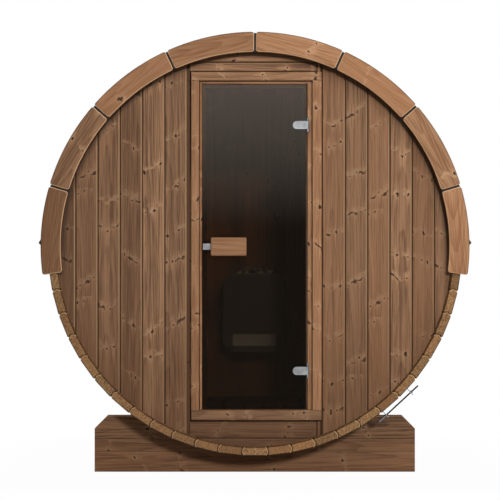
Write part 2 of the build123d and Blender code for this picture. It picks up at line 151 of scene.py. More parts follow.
class Sheet:
    """Short calls that add linked nodes to one shader tree."""

    def __init__(self, tree):
        self.tree = tree

    def feed(self, socket, source):
        """Links a socket to a source, or gives it a plain value."""
        if isinstance(source, bpy.types.NodeSocket):
            self.tree.links.new(source, socket)
        else:
            socket.default_value = source

    def wire(self, sockets, **sources):
        """Feeds sockets, which are named with underscores for spaces."""
        for name, source in sources.items():
            self.feed(sockets[name.replace("_", " ")], source)

    def add(self, kind, sources=None, **settings):
        node = self.tree.nodes.new(kind if kind.startswith("NodeGroup") else "ShaderNode" + kind)
        for setting, value in settings.items():
            setattr(node, setting, value)
        for socket, source in (sources or {}).items():
            self.feed(node.inputs[socket], source)
        return node

    def use(self, group, **sources):
        """Places a node group."""
        node = self.add("Group", node_tree=group)
        self.wire(node.inputs, **sources)
        return node.outputs

    def math(self, operation, a, b=0.0, c=0.0, clamp=False):
        return self.add("Math", {0: a, 1: b, 2: c}, operation=operation, use_clamp=clamp).outputs[0]

    def scale(self, value, factor, plus=None, clamp=False):
        """A value times a factor, plus another value if one is given."""
        if plus is None:
            return self.math("MULTIPLY", value, factor, clamp=clamp)
        return self.math("MULTIPLY_ADD", value, factor, plus, clamp)

    def less(self, value, taken):
        return self.math("SUBTRACT", value, taken)

    def vector(self, operation, a, b):
        return self.add("VectorMath", {0: a, 1: b}, operation=operation).outputs["Vector"]

    def split(self, vector):
        return self.add("SeparateXYZ", {0: vector}).outputs

    def join(self, x, y, z=0.0):
        return self.add("CombineXYZ", {0: x, 1: y, 2: z}).outputs[0]

    def length(self, *parts):
        return self.add("VectorMath", {0: self.join(*parts)}, operation="LENGTH").outputs["Value"]

    def noise(self, vector, scale, detail, roughness=0.55):
        sources = {"Vector": vector, "Scale": scale, "Detail": detail, "Roughness": roughness}
        return self.add("TexNoise", sources).outputs["Fac"]

    def stretched_noise(self, vector, stretch, detail, roughness=0.55):
        """Noise with its own fineness along x, y and z."""
        return self.noise(self.vector("MULTIPLY", vector, stretch), 1.0, detail, roughness)

    def cells_along(self, value, randomness):
        """Cells of uneven width along one line."""
        sources = {"W": value, "Scale": 1.0, "Randomness": randomness}
        return self.add("TexVoronoi", sources, voronoi_dimensions="1D", feature="F1").outputs

    def ease(self, value, low, high):
        """0 below low, 1 above high and a soft slope between, the other way if low > high."""
        sources = {"Value": value, "From Min": low, "From Max": high}
        return self.add("MapRange", sources, interpolation_type="SMOOTHSTEP").outputs["Result"]

    def mix(self, factor, a, b, blend="MIX"):
        node = self.add("Mix", {0: factor, 6: a, 7: b}, data_type="RGBA", blend_type=blend)
        return node.outputs[2]

    def toned(self, colour, level):
        """A colour with more or less light."""
        grey = self.add("CombineColor", {0: level, 1: level, 2: level}).outputs[0]
        return self.mix(1.0, colour, grey, "MULTIPLY")

    def attribute(self, name, output="Vector"):
        return self.add("Attribute", attribute_name=name).outputs[output]

    def place(self):
        """Where the surface is, in metres."""
        return self.add("TexCoord").outputs["Object"]

    def raised(self, height, distance, strength):
        """The normal of a surface raised by height times distance."""
        sources = {"Height": height, "Distance": distance, "Strength": strength}
        return self.add("Bump", sources).outputs["Normal"]


def new_group(name, inputs, **outputs):
    """A shader node group and the sheet to fill it. An input is given with its kind, or as the
    number it starts from, and outputs are listed by kind."""
    tree = bpy.data.node_groups.new(name, "ShaderNodeTree")
    for label, kind in inputs.items():
        number = isinstance(kind, float)
        socket_type = "NodeSocket" + ("Float" if number else kind)
        socket = tree.interface.new_socket(label, in_out="INPUT", socket_type=socket_type)
        if number:
            socket.default_value = kind
    for kind, labels in outputs.items():
        for label in labels:
            tree.interface.new_socket(label, in_out="OUTPUT", socket_type="NodeSocket" + kind)
    sheet = Sheet(tree)
    return tree, sheet, sheet.add("NodeGroupInput").outputs, sheet.add("NodeGroupOutput").inputs


def new_finish(name):
    """A material, the sheet to fill it, and its Principled shader."""
    material = bpy.data.materials.new(name)
    material.use_nodes = True
    return material, Sheet(material.node_tree), material.node_tree.nodes["Principled BSDF"]


# ---- Shared effects ----
def make_knots_group():
    """Branch knots. They come in rows across the board, where the tree had a ring of branches.
    A row opens upwards from the pith, some of its knots are sliced lengthwise, and the grain
    flows round them."""
    tree, s, given, result = new_group(
        "Knots",
        {"Grain": "Vector", "Rate": 0.5, "Size": 0.006, "Row Step": 0.22, "Knot Step": 0.03},
        Float=("Knot", "Core", "Outline", "Halo", "Arm", "Crack"), Vector=("Flow",))
    grain, row_step, knot_step = given["Grain"], given["Row Step"], given["Knot Step"]
    part = s.split(grain)
    along = s.math("DIVIDE", part["X"], row_step)
    row = s.cells_along(along, 0.85)
    row_luck = s.split(row["Color"])
    rise = s.scale(s.math("ABSOLUTE", part["Y"]), s.scale(row_luck["Z"], 0.75, 0.1))
    x = s.less(s.scale(s.less(along, row["W"]), row_step), rise)
    x = s.scale(s.less(s.noise(grain, 30.0, 1.0), 0.5), 0.05, x)

    across = s.scale(row_luck["X"], 43.0, s.math("DIVIDE", part["Y"], knot_step))
    knot = s.cells_along(across, 0.9)
    luck = s.split(knot["Color"])
    y = s.scale(s.less(across, knot["W"]), knot_step)
    own_x = s.scale(s.less(luck["Z"], 0.5), 0.012, x)
    in_row = s.math("LESS_THAN", row_luck["Y"], given["Rate"])
    there = s.scale(in_row, s.math("LESS_THAN", luck["X"], 0.62))
    size = s.scale(given["Size"], s.scale(luck["Y"], 0.9, 0.5))

    sliced = s.math("GREATER_THAN", luck["Z"], 0.6)
    reach = s.length(own_x, s.scale(y, s.scale(sliced, -0.6, 1.0)))
    reach = s.scale(reach, s.scale(s.noise(grain, 150.0, 2.0), 0.7, 0.65))
    part_of = s.math("DIVIDE", reach, size)
    core = s.scale(s.ease(part_of, 0.8, 0.35), s.scale(sliced, -0.45, 1.0))
    outline = s.scale(s.ease(part_of, 1.0, 1.25), s.ease(part_of, 2.6, 1.5))
    arm = s.scale(s.ease(x, -0.003, 0.003), s.ease(x, 0.042, 0.004))
    arm = s.scale(arm, s.ease(s.noise(grain, 38.0, 2.0), 0.4, 0.6))

    spread = s.math("DIVIDE", s.length(s.scale(x, 0.3), y), s.scale(size, 1.7))
    halo = s.scale(there, s.math("EXPONENT", s.scale(s.scale(spread, spread), -1.0)))
    wavy = s.stretched_noise(grain, (22.0, 0.0, 0.0), 2.0)
    off_line = s.math("ABSOLUTE", s.scale(s.less(wavy, 0.5), 0.012, y))
    crack = s.scale(s.ease(off_line, 0.0028, 0.0008), s.ease(s.math("ABSOLUTE", x), 0.085, 0.01))
    crack = s.scale(crack, s.math("GREATER_THAN", luck["Y"], 0.6))
    bent = s.scale(y, s.scale(halo, 0.85))
    s.wire(result, Knot=s.scale(there, s.ease(part_of, 1.25, 0.65)), Core=s.scale(there, core),
           Outline=s.scale(there, outline), Arm=s.scale(in_row, arm), Halo=halo,
           Crack=s.scale(there, crack), Flow=s.vector("SUBTRACT", grain, s.join(0.0, bent)))
    return tree


def make_figure_group():
    """The figure of sawn softwood: year rings that taper up the trunk, bands and streaks of
    darker wood, and fibres."""
    tree, s, given, result = new_group(
        "Timber Figure",
        {"Grain": "Vector", "Ring Width": 0.007, "Taper": 0.018, "Wander": 0.016},
        Float=("Late Wood", "Band", "Streak", "Fibre"))
    grain, ring_width = given["Grain"], given["Ring Width"]
    slow = s.stretched_noise(grain, (1.6, 5.0, 5.0), 2.0)
    quick = s.stretched_noise(grain, (5.0, 30.0, 30.0), 3.0)
    part = s.split(grain)
    bent = s.scale(part["X"], given["Taper"], s.length(0.0, part["Y"], part["Z"]))
    bent = s.scale(slow, given["Wander"], bent)
    bent = s.scale(quick, s.scale(ring_width, 0.8), bent)
    ring = s.math("FRACT", s.math("DIVIDE", bent, ring_width))
    s.wire(result, Late_Wood=s.scale(s.math("POWER", ring, 2.0), s.ease(ring, 1.0, 0.9)),
           Band=s.stretched_noise(grain, (0.45, 16.0, 16.0), 2.0, 0.6),
           Streak=s.stretched_noise(grain, (1.3, 110.0, 110.0), 4.0, 0.6),
           Fibre=s.stretched_noise(grain, (7.0, 300.0, 300.0), 2.0, 0.6))
    return tree


def make_tone_group():
    """Gives each board its own lightness and warmth."""
    tree, s, given, result = new_group(
        "Board Tone", {"Color": "Color", "Tone": "Vector", "Warm": "Color"}, Color=("Color",))
    part = s.split(given["Tone"])
    s.wire(result, Color=s.toned(s.mix(part["Y"], given["Color"], given["Warm"]), part["X"]))
    return tree


def make_scuff_group():
    """Broad soft blotches of wear and handling, and fine scratches along one way."""
    tree, s, given, result = new_group(
        "Scuffs", {"Place": "Vector", "Blotch Size": 3.0}, Float=("Blotch", "Scratch"))
    blotch = s.noise(given["Place"], given["Blotch Size"], 4.0, 0.6)
    s.wire(result, Blotch=s.ease(blotch, 0.35, 0.7),
           Scratch=s.stretched_noise(given["Place"], (900.0, 900.0, 30.0), 2.0))
    return tree


def make_grit_group():
    """Mineral grit: small rounded grains with a colour and a height of their own."""
    tree, s, given, result = new_group(
        "Grit", {"Place": "Vector", "Grain Size": 0.002}, Float=("Shade", "Height"))
    fineness = s.math("DIVIDE", 1.0, given["Grain Size"])
    cells = s.add("TexVoronoi", {"Vector": given["Place"], "Scale": fineness}).outputs
    s.wire(result, Shade=s.split(cells["Color"])["X"], Height=s.ease(cells["Distance"], 0.8, 0.1))
    return tree


KNOTS = make_knots_group()
FIGURE = make_figure_group()
TONE = make_tone_group()
SCUFFS = make_scuff_group()
GRIT = make_grit_group()


# ---- Finishes ----
def times(colour, level):
    """The same colour with more or less light."""
    return tuple(min(1.0, c * level) for c in colour[:3]) + (1,)


def knot_pale_and_highlight(colour):
    """The paler, greyer wood of knot marks, and the colour of a painted highlight on edges."""
    return tuple(c * up for c, up in zip(colour, (1.25, 1.4, 1.5))) + (1,)


def timber(name, pale, dark, warm, end, rate, knot_size=0.006, steps=(0.22, 0.03), ring=0.007,
           taper=0.018, figured=1.0, edge_light_levels=(1.0, 0.5), shaded=0.0):
    """Thermally treated softwood, planed and oiled. Its marked edges get a painted highlight and a
    painted shade, at the two given lightnesses. If asked, it gets a painted shadow just inside the
    trims, at the given strength, and painted shade that darkens it towards the bottom."""
    pale, dark, warm, end = (paint(*chip) for chip in (pale, dark, warm, end))
    material, s, shader = new_finish(name)
    grain = s.attribute("grain")
    # rim reads each face's painted highlight (1) or painted shade (-1)
    sawn, rim = s.attribute("end_cut", "Fac"), s.attribute("edge", "Fac")
    knots = s.use(KNOTS, Grain=grain, Rate=rate, Size=knot_size, Row_Step=steps[0],
                  Knot_Step=steps[1])
    figure = s.use(FIGURE, Grain=knots["Flow"], Ring_Width=ring, Taper=taper)
    late, streak, fibre = figure["Late Wood"], figure["Streak"], figure["Fibre"]
    depth = s.scale(late, 0.55 * figured, s.scale(s.ease(streak, 0.34, 0.66), 0.54))
    depth = s.scale(s.less(figure["Band"], 0.5), 1.6, depth)
    depth = s.scale(s.less(fibre, 0.5), 1.9, depth, clamp=True)
    side = s.mix(depth, pale, dark)
    for mark, strength, light in (("Halo", 0.6, times(pale, 1.4)), ("Arm", 0.75, knot_pale_and_highlight(pale)),
                                  ("Outline", 0.45, knot_pale_and_highlight(pale))):
        side = s.mix(s.scale(knots[mark], strength), side, light)
    end_depth = s.scale(late, 0.6, s.scale(s.ease(streak, 0.35, 0.65), 0.5))
    pores = s.less(s.noise(grain, 190.0, 2.0), 0.5)
    end_depth = s.scale(pores, 4.4, end_depth, clamp=True)
    cut = s.mix(end_depth, times(end, 1.12), dark)
    colour = s.mix(sawn, side, cut)
    colour = s.use(TONE, Color=colour, Tone=s.attribute("tone"), Warm=warm)["Color"]
    long_side = s.less(1.0, sawn)
    for mark, strength, stain in (("Crack", 0.6, paint(50, 33, 23)), ("Knot", 0.85, paint(74, 46, 30)),
                                  ("Core", 0.95, paint(20, 12, 8))):
        colour = s.mix(s.scale(s.scale(knots[mark], long_side), strength), colour, stain)
    # painted highlight on the edges marked pale
    colour = s.mix(s.scale(rim, 0.85, clamp=True), colour, times(knot_pale_and_highlight(pale), edge_light_levels[0]))
    # painted shadow on the wall just inside the trims, then painted shade towards the bottom
    if shaded:
        place = s.split(s.place())
        height = s.less(place["Z"], axis_height + trim_rise)
        shade = s.ease(s.length(place["X"], 0.0, height), trim_inner - shade_width, trim_inner)
        shade = s.scale(shade, s.ease(height, -0.25, 0.1))
        colour = s.mix(s.scale(shade, shaded), colour, times(dark, 0.3))
        # painted shade: darker and redder towards the bottom
        low_shade = tuple(v * keep for v, keep in zip(dark, (0.7, 0.5, 0.2, 1.0)))
        colour = s.mix(s.scale(s.ease(height, -0.1, -0.75), 0.38), colour, low_shade)
    # painted shade on the edges marked dark
    colour = s.mix(s.scale(rim, -0.85, clamp=True), colour, times(dark, edge_light_levels[1]))
    relief = s.scale(s.scale(knots["Knot"], long_side), -0.8, s.scale(late, 0.5, fibre))
    s.wire(shader.inputs, Base_Color=colour, Roughness=s.scale(fibre, 0.16, 0.54),
           Specular_IOR_Level=0.14, Normal=s.raised(relief, 0.0006, 0.6))
    return material


def brushed_steel(name, pale, dull, gloss):
    """Brushed steel with faint handling marks."""
    material, s, shader = new_finish(name)
    marks = s.use(SCUFFS, Place=s.place(), Blotch_Size=14.0)
    s.wire(shader.inputs, Base_Color=s.mix(marks["Blotch"], pale, dull), Metallic=1.0,
           Roughness=s.scale(marks["Scratch"], 0.22, gloss),
           Normal=s.raised(marks["Scratch"], 0.00008, 0.5))
    return material


def smoked_glass():
    """Toughened brown glass, which lamps shine through. Over its top part a painted reflection grows
    upwards: its coat and a paler tint rise with height."""
    material, s, shader = new_finish("smoked glass")
    place = s.place()
    painted_reflection_height = 0.68
    clear_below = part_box("door_glass")[1].z - painted_reflection_height
    # painted reflection: from nothing at the band's foot to full at the top of the pane
    rise = s.math("DIVIDE", s.less(s.split(place)["Z"], clear_below), painted_reflection_height)
    rise = s.scale(rise, s.scale(s.noise(place, 1.4, 2.0), 0.3, 0.85), clamp=True)
    colour = s.mix(rise, paint(122, 109, 96), paint(182, 156, 122))
    s.wire(shader.inputs, Base_Color=colour, Roughness=0.02, IOR=1.04, Transmission_Weight=0.97,
           Coat_Weight=rise, Coat_Roughness=0.02, Coat_IOR=1.52)
    shadow = s.add("LightPath").outputs["Is Shadow Ray"]
    clear = s.add("BsdfTransparent", {"Color": (0.54, 0.53, 0.51, 1)}).outputs[0]
    pane = s.add("MixShader", {0: shadow, 1: shader.outputs[0], 2: clear}).outputs[0]
    s.wire(s.tree.nodes["Material Output"].inputs, Surface=pane)
    return material


def roof_felt():
    """Black bitumen shingle with crushed slate on it."""
    material, s, shader = new_finish("roof felt")
    place = s.place()
    grit = s.use(GRIT, Place=place, Grain_Size=0.003)
    marks = s.use(SCUFFS, Place=place, Blotch_Size=5.0)
    colour = s.mix(grit["Shade"], paint(30, 30, 31), paint(72, 71, 70))
    colour = s.mix(s.scale(marks["Blotch"], 0.35), colour, paint(50, 47, 43))
    colour = s.toned(colour, s.split(s.attribute("tone"))["X"])
    s.wire(shader.inputs, Base_Color=colour, Roughness=s.scale(grit["Shade"], 0.15, 0.8),
           Normal=s.raised(grit["Height"], 0.001, 0.8))
    return material


def roof_board():
    """Fibre board soaked with bitumen."""
    material, s, shader = new_finish("roof board")
    place = s.place()
    fibres = s.stretched_noise(place, (400.0, 90.0, 400.0), 3.0)
    marks = s.use(SCUFFS, Place=place, Blotch_Size=7.0)
    s.wire(shader.inputs, Base_Color=s.mix(fibres, paint(16, 15, 15), paint(34, 32, 30)),
           Roughness=s.scale(marks["Blotch"], 0.15, 0.78), Normal=s.raised(fibres, 0.0005, 0.6))
    return material


def coated_steel(name, fresh, faded, gloss, rim=None):
    """Sheet steel under a baked coating with a fine orange-peel surface. The coating is worn
    off above the height of the rim, if there is one."""
    material, s, shader = new_finish(name)
    place = s.place()
    marks = s.use(SCUFFS, Place=place, Blotch_Size=9.0)
    colour = s.mix(s.scale(marks["Blotch"], 0.5), fresh, faded)
    if rim:
        bare = s.ease(s.split(place)["Z"], rim - 2 * MM, rim)
        colour = s.mix(bare, colour, times(faded, 7.0))
    s.wire(shader.inputs, Base_Color=colour, Roughness=s.scale(marks["Blotch"], 0.12, gloss),
           Normal=s.raised(s.noise(place, 260.0, 2.0), 0.0002, 0.5))
    return material


def sauna_stone():
    """Split dark stone with paler faces."""
    material, s, shader = new_finish("sauna stone")
    place = s.place()
    grit = s.use(GRIT, Place=place, Grain_Size=0.0025)
    cloud = s.noise(place, 22.0, 4.0, 0.6)
    colour = s.mix(s.ease(cloud, 0.35, 0.65), paint(76, 76, 76), paint(242, 240, 234))
    colour = s.mix(s.scale(grit["Shade"], 0.35), colour, paint(50, 49, 48))
    colour = s.toned(colour, s.split(s.attribute("tone"))["X"])
    s.wire(shader.inputs, Base_Color=colour, Roughness=s.scale(cloud, 0.2, 0.7),
           Normal=s.raised(cloud, 0.004, 0.8))
    return material


STAVE = timber("stave wood", (150, 114, 78), (86, 60, 40), (140, 94, 58), (158, 122, 80), 0.6,
               steps=(0.3, 0.04), edge_light_levels=(1.5, 0.2))
WALL = timber("wall wood", (154, 116, 85), (92, 65, 46), (140, 98, 68), (150, 112, 78), 0.95,
              knot_size=0.0068, steps=(0.26, 0.027), shaded=0.72)
TRIM = timber("trim wood", (174, 132, 97), (122, 85, 58), (166, 114, 76), (166, 124, 86), 0.5,
              knot_size=0.0075, steps=(0.26, 0.06), ring=0.0075, taper=0.05, figured=1.3,
              edge_light_levels=(1.5, 0.28))
FRAME = timber("frame wood", (170, 129, 95), (106, 73, 50), (162, 112, 77), (156, 116, 82), 1.0,
               knot_size=0.0075, steps=(0.17, 0.036))
CRADLE = timber("cradle wood", (138, 102, 72), (56, 38, 26), (118, 80, 54), (128, 94, 64), 0.55,
                knot_size=0.008, steps=(0.26, 0.05), figured=1.3)
FLOOR = timber("floor wood", (126, 94, 68), (78, 54, 38), (112, 76, 52), (112, 82, 58), 0.5,
               steps=(0.3, 0.04))
HANDLE = timber("handle wood", (172, 130, 95), (128, 90, 62), (164, 114, 78), (158, 116, 82), 0.0,
                ring=0.011)
STEEL = brushed_steel("satin steel", paint(122, 123, 125), paint(92, 93, 94), 0.4)
ROD_STEEL = brushed_steel("oiled black steel", paint(26, 25, 25), paint(18, 17, 17), 0.4)
GLASS = smoked_glass()
FELT = roof_felt()
BOARD = roof_board()
DRIP = coated_steel("drip coating", paint(24, 24, 26), paint(44, 43, 42), 0.42)
SHELL = coated_steel("heater enamel", paint(19, 22, 23), paint(36, 36, 34), 0.38,
                     rim=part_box("heater_body")[1].z - 7 * MM)
PANEL = coated_steel("heater panel", paint(184, 190, 186), paint(160, 164, 160), 0.5)
STONE = sauna_stone()


# ---- Mesh helpers ----
def facing(origin, along, out):
    """The place of a board that starts at origin: its fibres run along, its face looks out."""
    across = out.cross(along).normalized()
    turn = Matrix((along.normalized(), across, out.normalized())).transposed()
    return Matrix.Translation(origin) @ turn.to_4x4()


def loft(rings):
    """A solid through rings of points, closed by its first and its last ring."""
    solid = bmesh.new()
    rings = [[solid.verts.new(point) for point in ring] for ring in rings]
    for low, high in zip(rings, rings[1:]):
        for n in range(len(low)):
            solid.faces.new((low[n - 1], low[n], high[n], high[n - 1]))
    solid.faces.new(rings[0])
    solid.faces.new(rings[-1])
    bmesh.ops.recalc_face_normals(solid, faces=solid.faces)
    return solid


def plate(points, along, out, depth):
    """A flat board and its place, given the outline of its outer face and its depth behind it."""
    middle = sum(points, Vector()) / len(points)
    place = facing(middle, along, out)
    flat = [place.inverted() @ p for p in points]
    board = bmesh.new()
    face = [board.verts.new((p.x, p.y, 0)) for p in flat]
    back = [board.verts.new((p.x, p.y, -depth)) for p in flat]
    board.faces.new(face)
    board.faces.new(back)
    for n, vert in enumerate(face):
        board.faces.new((vert, face[n - 1], back[n - 1], back[n]))
    bmesh.ops.recalc_face_normals(board, faces=board.faces)
    return board, place


def rectangle(x, z, y):
    """The corners of an upright rectangle between two x and two z values, at a depth y."""
    return [Vector((x[a], y, z[b])) for a, b in ((0, 0), (1, 0), (1, 1), (0, 1))]


def round_edges(board, width, chosen, steps):
    """Rounds the chosen edges. chosen takes the edge's two ends."""
    edges = [e for e in board.edges if chosen(e.verts[0].co, e.verts[1].co)]
    if edges:
        bmesh.ops.bevel(board, geom=edges, offset=width, segments=steps, profile=0.5,
                        affect="EDGES", clamp_overlap=True)


def on_face(a, b):
    """Edges round the outer face."""
    return max(abs(a.z), abs(b.z)) < 1e-6


def on_long_face_edge(a, b):
    """Edges of the outer face that run straight with the fibres."""
    return on_face(a, b) and abs(a.y - b.y) < 1e-6


plain_tone = Vector((1.0, 0.0, 0.0))


class Piece:
    """Boards or other small solids that are gathered into one mesh."""

    def __init__(self, seed):
        self.chance = random.Random(seed)
        self.points, self.faces = [], []
        self.grain, self.tone, self.cut, self.edge = [], [], [], []

    def own_tone(self, level=1.0, spread=0.09):
        """A board's lightness and warmth, about a level."""
        return Vector((level * (1 + self.chance.uniform(-spread, spread)),
                       self.chance.uniform(0.0, 0.55), 0.0))

    def add(self, board, place, tone=None, painted_light_mark=None, sides_too=False):
        """Adds a board. The mark function takes the way a face looks and its middle, and answers 1 for a
        painted highlight on a paler edge, -1 for painted shade on a dark edge and 0 for neither. It is
        asked about the rounded edges, and about the board's sides too if so told."""
        tone = tone or self.own_tone()
        spots = [v.co for v in board.verts]
        middle = Vector([(min(c[i] for c in spots) + max(c[i] for c in spots)) / 2 for i in range(3)])
        # where the board lay in its trunk: how far up, and how far from the pith
        pith = Vector((self.chance.uniform(0, 40), self.chance.uniform(-0.06, 0.06),
                       self.chance.uniform(0.03, 0.11)))
        start = len(self.points)
        board.verts.index_update()
        board.normal_update()
        for vert in board.verts:
            self.points.append(place @ vert.co)
            self.grain.append(vert.co - middle + pith)
            self.tone.append(tone)
        for face in board.faces:
            self.faces.append([start + v.index for v in face.verts])
            self.cut.append(1.0 if abs(face.normal.x) > 0.8 else 0.0)
            looks = place.to_3x3() @ face.normal
            asked = painted_light_mark and (0.0 if sides_too else 0.2) <= abs(looks.y) < 0.95
            self.edge.append(painted_light_mark(looks, place @ face.calc_center_median()) if asked else 0.0)
        board.free()

    def finish(self, name, slot, material, nodes=None, body="barrel", sharp=35):
        """Makes the object. It rides on the body and stands for the node of its own name, or
        for the nodes if they are given."""
        mesh = bpy.data.meshes.new(f"visual_{name}")
        mesh.from_pydata([tuple(p) for p in self.points], [], self.faces)
        for label, values in (("grain", self.grain), ("tone", self.tone)):
            layer = mesh.attributes.new(label, "FLOAT_VECTOR", "POINT")
            layer.data.foreach_set("vector", [c for v in values for c in v])
        # edge holds each face's painted highlight (1) or painted shade (-1)
        for label, values in (("end_cut", self.cut), ("edge", self.edge)):
            layer = mesh.attributes.new(label, "FLOAT", "FACE")
            layer.data.foreach_set("value", values)
        mesh.shade_smooth()
        mesh.set_sharp_from_angle(angle=math.radians(sharp))
        mesh.materials.append(material)
        piece = bpy.data.objects.new(f"visual_{name}", mesh)
        bpy.context.scene.collection.objects.link(piece)
        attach(piece, body)
        replaced = (name,) if nodes is None else nodes
        if replaced:
            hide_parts(*replaced)


def joint_light_mark(looks, _):
    """In a joint, the side that looks right or up gets a painted highlight and the other painted shade,
    as if lit from the upper right.
    """
    return math.copysign(1.0, looks.x + looks.z)


def shadow_mark(*_):
    """Both sides of a joint get painted shade."""
    return -1.0


def stave_light_mark(looks, middle):
    """A stave's end bevels that look up round the ring get a painted highlight, and those that look down
    get painted shade, as do its edges inside and outside. The sides of its joints are dark."""
    radial = Vector((middle.x, 0, middle.z - axis_height)).normalized()
    if abs(looks.y) < 0.2:
        return 0.0 if abs(looks.dot(radial)) > 0.95 else -0.8
    upward = Vector((-radial.z, 0, radial.x)) * math.copysign(1.0, middle.x)
    along = looks.dot(upward)
    return -1.0 if abs(along) < 0.45 else math.copysign(1.0, along)


def trim_light_mark(looks, middle):
    """Painted shade on a trim board's outer edge and its ends, and a painted highlight on its other
    edges.
    """
    radial = Vector((middle.x, 0, middle.z - axis_height)).normalized()
    if abs(looks.y) < 0.2:
        return -1.0 if abs(looks.dot(radial)) < 0.7 else 0.0
    return -1.0 if looks.dot(radial) > 0.25 else 1.0


def light_from_above_mark(looks, _):
    """An edge that looks up gets a painted highlight and one that looks down painted shade, as if lit
    from above.
    """
    return 0.0 if abs(looks.z) < 0.2 else math.copysign(1.0, looks.z)


def frame_highlight_mark(looks, _):
    """The frame's edges that look left or down get a painted highlight."""
    return 0.8 if looks.x + looks.z < -0.3 else 0.0


def polar(radius, angle, rise=0.0):
    """The x and z of a point at an angle from straight up towards the right."""
    return radius * math.sin(angle), axis_height + rise + radius * math.cos(angle)


def share(low, high, count):
    """Evenly spaced values from low to high, both included."""
    return [low + (high - low) * n / count for n in range(count + 1)]


# ---- Staves ----
def stave_edge(side, joint):
    """One long edge of a stave, from its inner to its outer face, as (across, out) points."""
    inset = stave_gap / 2
    inner = Vector((side * (stave_inner * stave_slope - inset), stave_inner))
    outer = Vector((side * (stave_outer * stave_slope - inset), stave_outer))
    along = (outer - inner).normalized()
    outward = Vector((along.y, -along.x)) * side
    low, high = inner + along * stave_ease, outer - along * stave_ease
    bulge = bead_rise if joint == "bead" else -bead_rise
    curve = []
    for t in share(0, 1, bead_steps):
        curve.append(low.lerp(high, t) + outward * bulge * 4 * t * (1 - t))
    eased = Vector((side * stave_ease, 0))
    return [inner - eased] + curve + [outer - eased]


def stave_section(left_joint, right_joint):
    """A stave's outline, with a point on each side where the bottom of the croze comes."""
    croze = stave_inner + croze_depth
    side = stave_edge(1, right_joint)
    loop = side + list(reversed(stave_edge(-1, left_joint)))
    outline = []
    for here, after in zip(loop, loop[1:] + loop[:1]):
        outline.append(here)
        if (here.y - croze) * (after.y - croze) < 0:
            outline.append(here.lerp(after, (croze - here.y) / (after.y - here.y)))
    return outline, croze


def stave(left_joint, right_joint):
    """A stave along x with the two grooves that house the end walls."""
    outline, croze = stave_section(left_joint, right_joint)
    groove = (-wall_back - seat_gap, -wall_front + seat_gap)
    stations = [-half_length, -groove[1], -groove[0], groove[0], groove[1], half_length]
    board = bmesh.new()
    rings = [[board.verts.new((x, p.x, p.y)) for p in outline] for x in stations]
    in_groove = [p.y < croze - 1e-7 for p in outline]
    count = len(outline)
    for low, high, grooved in zip(rings, rings[1:], (False, True, False, True, False)):
        for n in range(count):
            after = (n + 1) % count
            if grooved and (in_groove[n] or in_groove[after]):
                continue
            board.faces.new((low[n], low[after], high[after], high[n]))
        if grooved:
            edge = [n for n in range(count) if not in_groove[n] and
                    (in_groove[(n + 1) % count] or in_groove[n - 1])]
            a, b = edge
            board.faces.new((low[a], low[b], high[b], high[a]))
            for ring in (low, high):
                board.faces.new([v for n, v in enumerate(ring) if in_groove[n] or n in edge])
    board.faces.new(rings[0])
    board.faces.new(rings[-1])
    bmesh.ops.recalc_face_normals(board, faces=board.faces)
    ends = half_length - 1e-6
    round_edges(board, stave_end_ease, lambda a, b: min(abs(a.x), abs(b.x)) > ends, 1)
    return board


def make_staves():
    """The ring, laid from the bottom stave up. The names are those of its groups."""
    last = stave_count // 2
    bounds = [round(last * part) for part in (0.12, 0.38, 0.65, 0.85, 1)]
    groups = {"staves_bottom": range(-bounds[0], bounds[0] + 1)}
    names = ("staves_lower", "staves_side", "staves_upper")
    for name, low, high in zip(names, bounds, bounds[1:]):
        groups[f"{name}_right"] = range(low + 1, high + 1)
        groups[f"{name}_left"] = range(-high, -low)
    groups["staves_top"] = [n for n in range(-last, last + 1) if abs(n) > bounds[3]]
    for order, (name, numbers) in enumerate(groups.items()):
        piece = Piece(100 + order)
        for number in numbers:
            if number == 0:
                joints = ("bead", "bead")
            elif number == -last:
                joints = ("cove", "cove")
            else:
                joints = ("cove", "bead") if number > 0 else ("bead", "cove")
            angle = math.pi - number * stave_pitch
            out = Vector((math.sin(angle), 0, math.cos(angle)))
            piece.add(stave(*joints), facing(axis, INWARD, out), piece.own_tone(1.0, 0.2),
                      stave_light_mark, sides_too=True)
        piece.finish(name, "stave_wood", STAVE)


# ---- End walls ----
def disc_outline(x_range, z_range, y):
    """The part of the wall's disc between two x and two z values, at a depth y."""
    near = 0.0 if z_range[0] < 0 < z_range[1] else min(abs(z) for z in z_range)
    reach = math.sqrt(max(wall_radius ** 2 - near ** 2, 0.0))
    x_low, x_high = max(x_range[0], -reach), min(x_range[1], reach)
    steps = max(3, round((x_high - x_low) / 0.03))
    top, bottom = [], []
    for x in share(x_low, x_high, steps):
        edge = math.sqrt(max(wall_radius ** 2 - x * x, 0.0))
        top.append(Vector((x, y, axis_height + min(z_range[1], edge))))
        bottom.append(Vector((x, y, axis_height + max(z_range[0], -edge))))
    outline = bottom + top[::-1]
    return [p for n, p in enumerate(outline) if (p - outline[n - 1]).length > 1e-5]


def wall_board(piece, x_range, z_range, y, out, upright, tone=None, painted_light_mark=joint_light_mark):
    """One board of an end wall, with half a V along each long edge."""
    outline = disc_outline(x_range, z_range, y)
    board, place = plate(outline, UP if upright else RIGHT, out, wall_thickness)
    round_edges(board, board_vee, on_long_face_edge, 1)
    piece.add(board, place, tone, painted_light_mark)


def board_joints(start, step):
    """Joints between boards, from the first board's edge out to the wall's edge."""
    joints = [start]
    while abs(joints[-1]) < wall_radius:
        joints.append(joints[-1] + step)
    joints[-1] = math.copysign(wall_radius, step)
    return joints


def add_tongue(piece, left, right):
    """The bare tongue that shows between the left wall and the door frame."""
    height = math.sqrt(wall_radius ** 2 - left ** 2) - seat_gap
    y = (wall_front + wall_back - tongue_thickness) / 2
    # a low level: painted shade on the tongue in its recess beside the frame
    warm_painted_shade = Vector((0.42, 1.0, 0))
    points = rectangle((left, right), (axis_height - height, axis_height + height), y)
    piece.add(*plate(points, UP, -INWARD, tongue_thickness), warm_painted_shade)


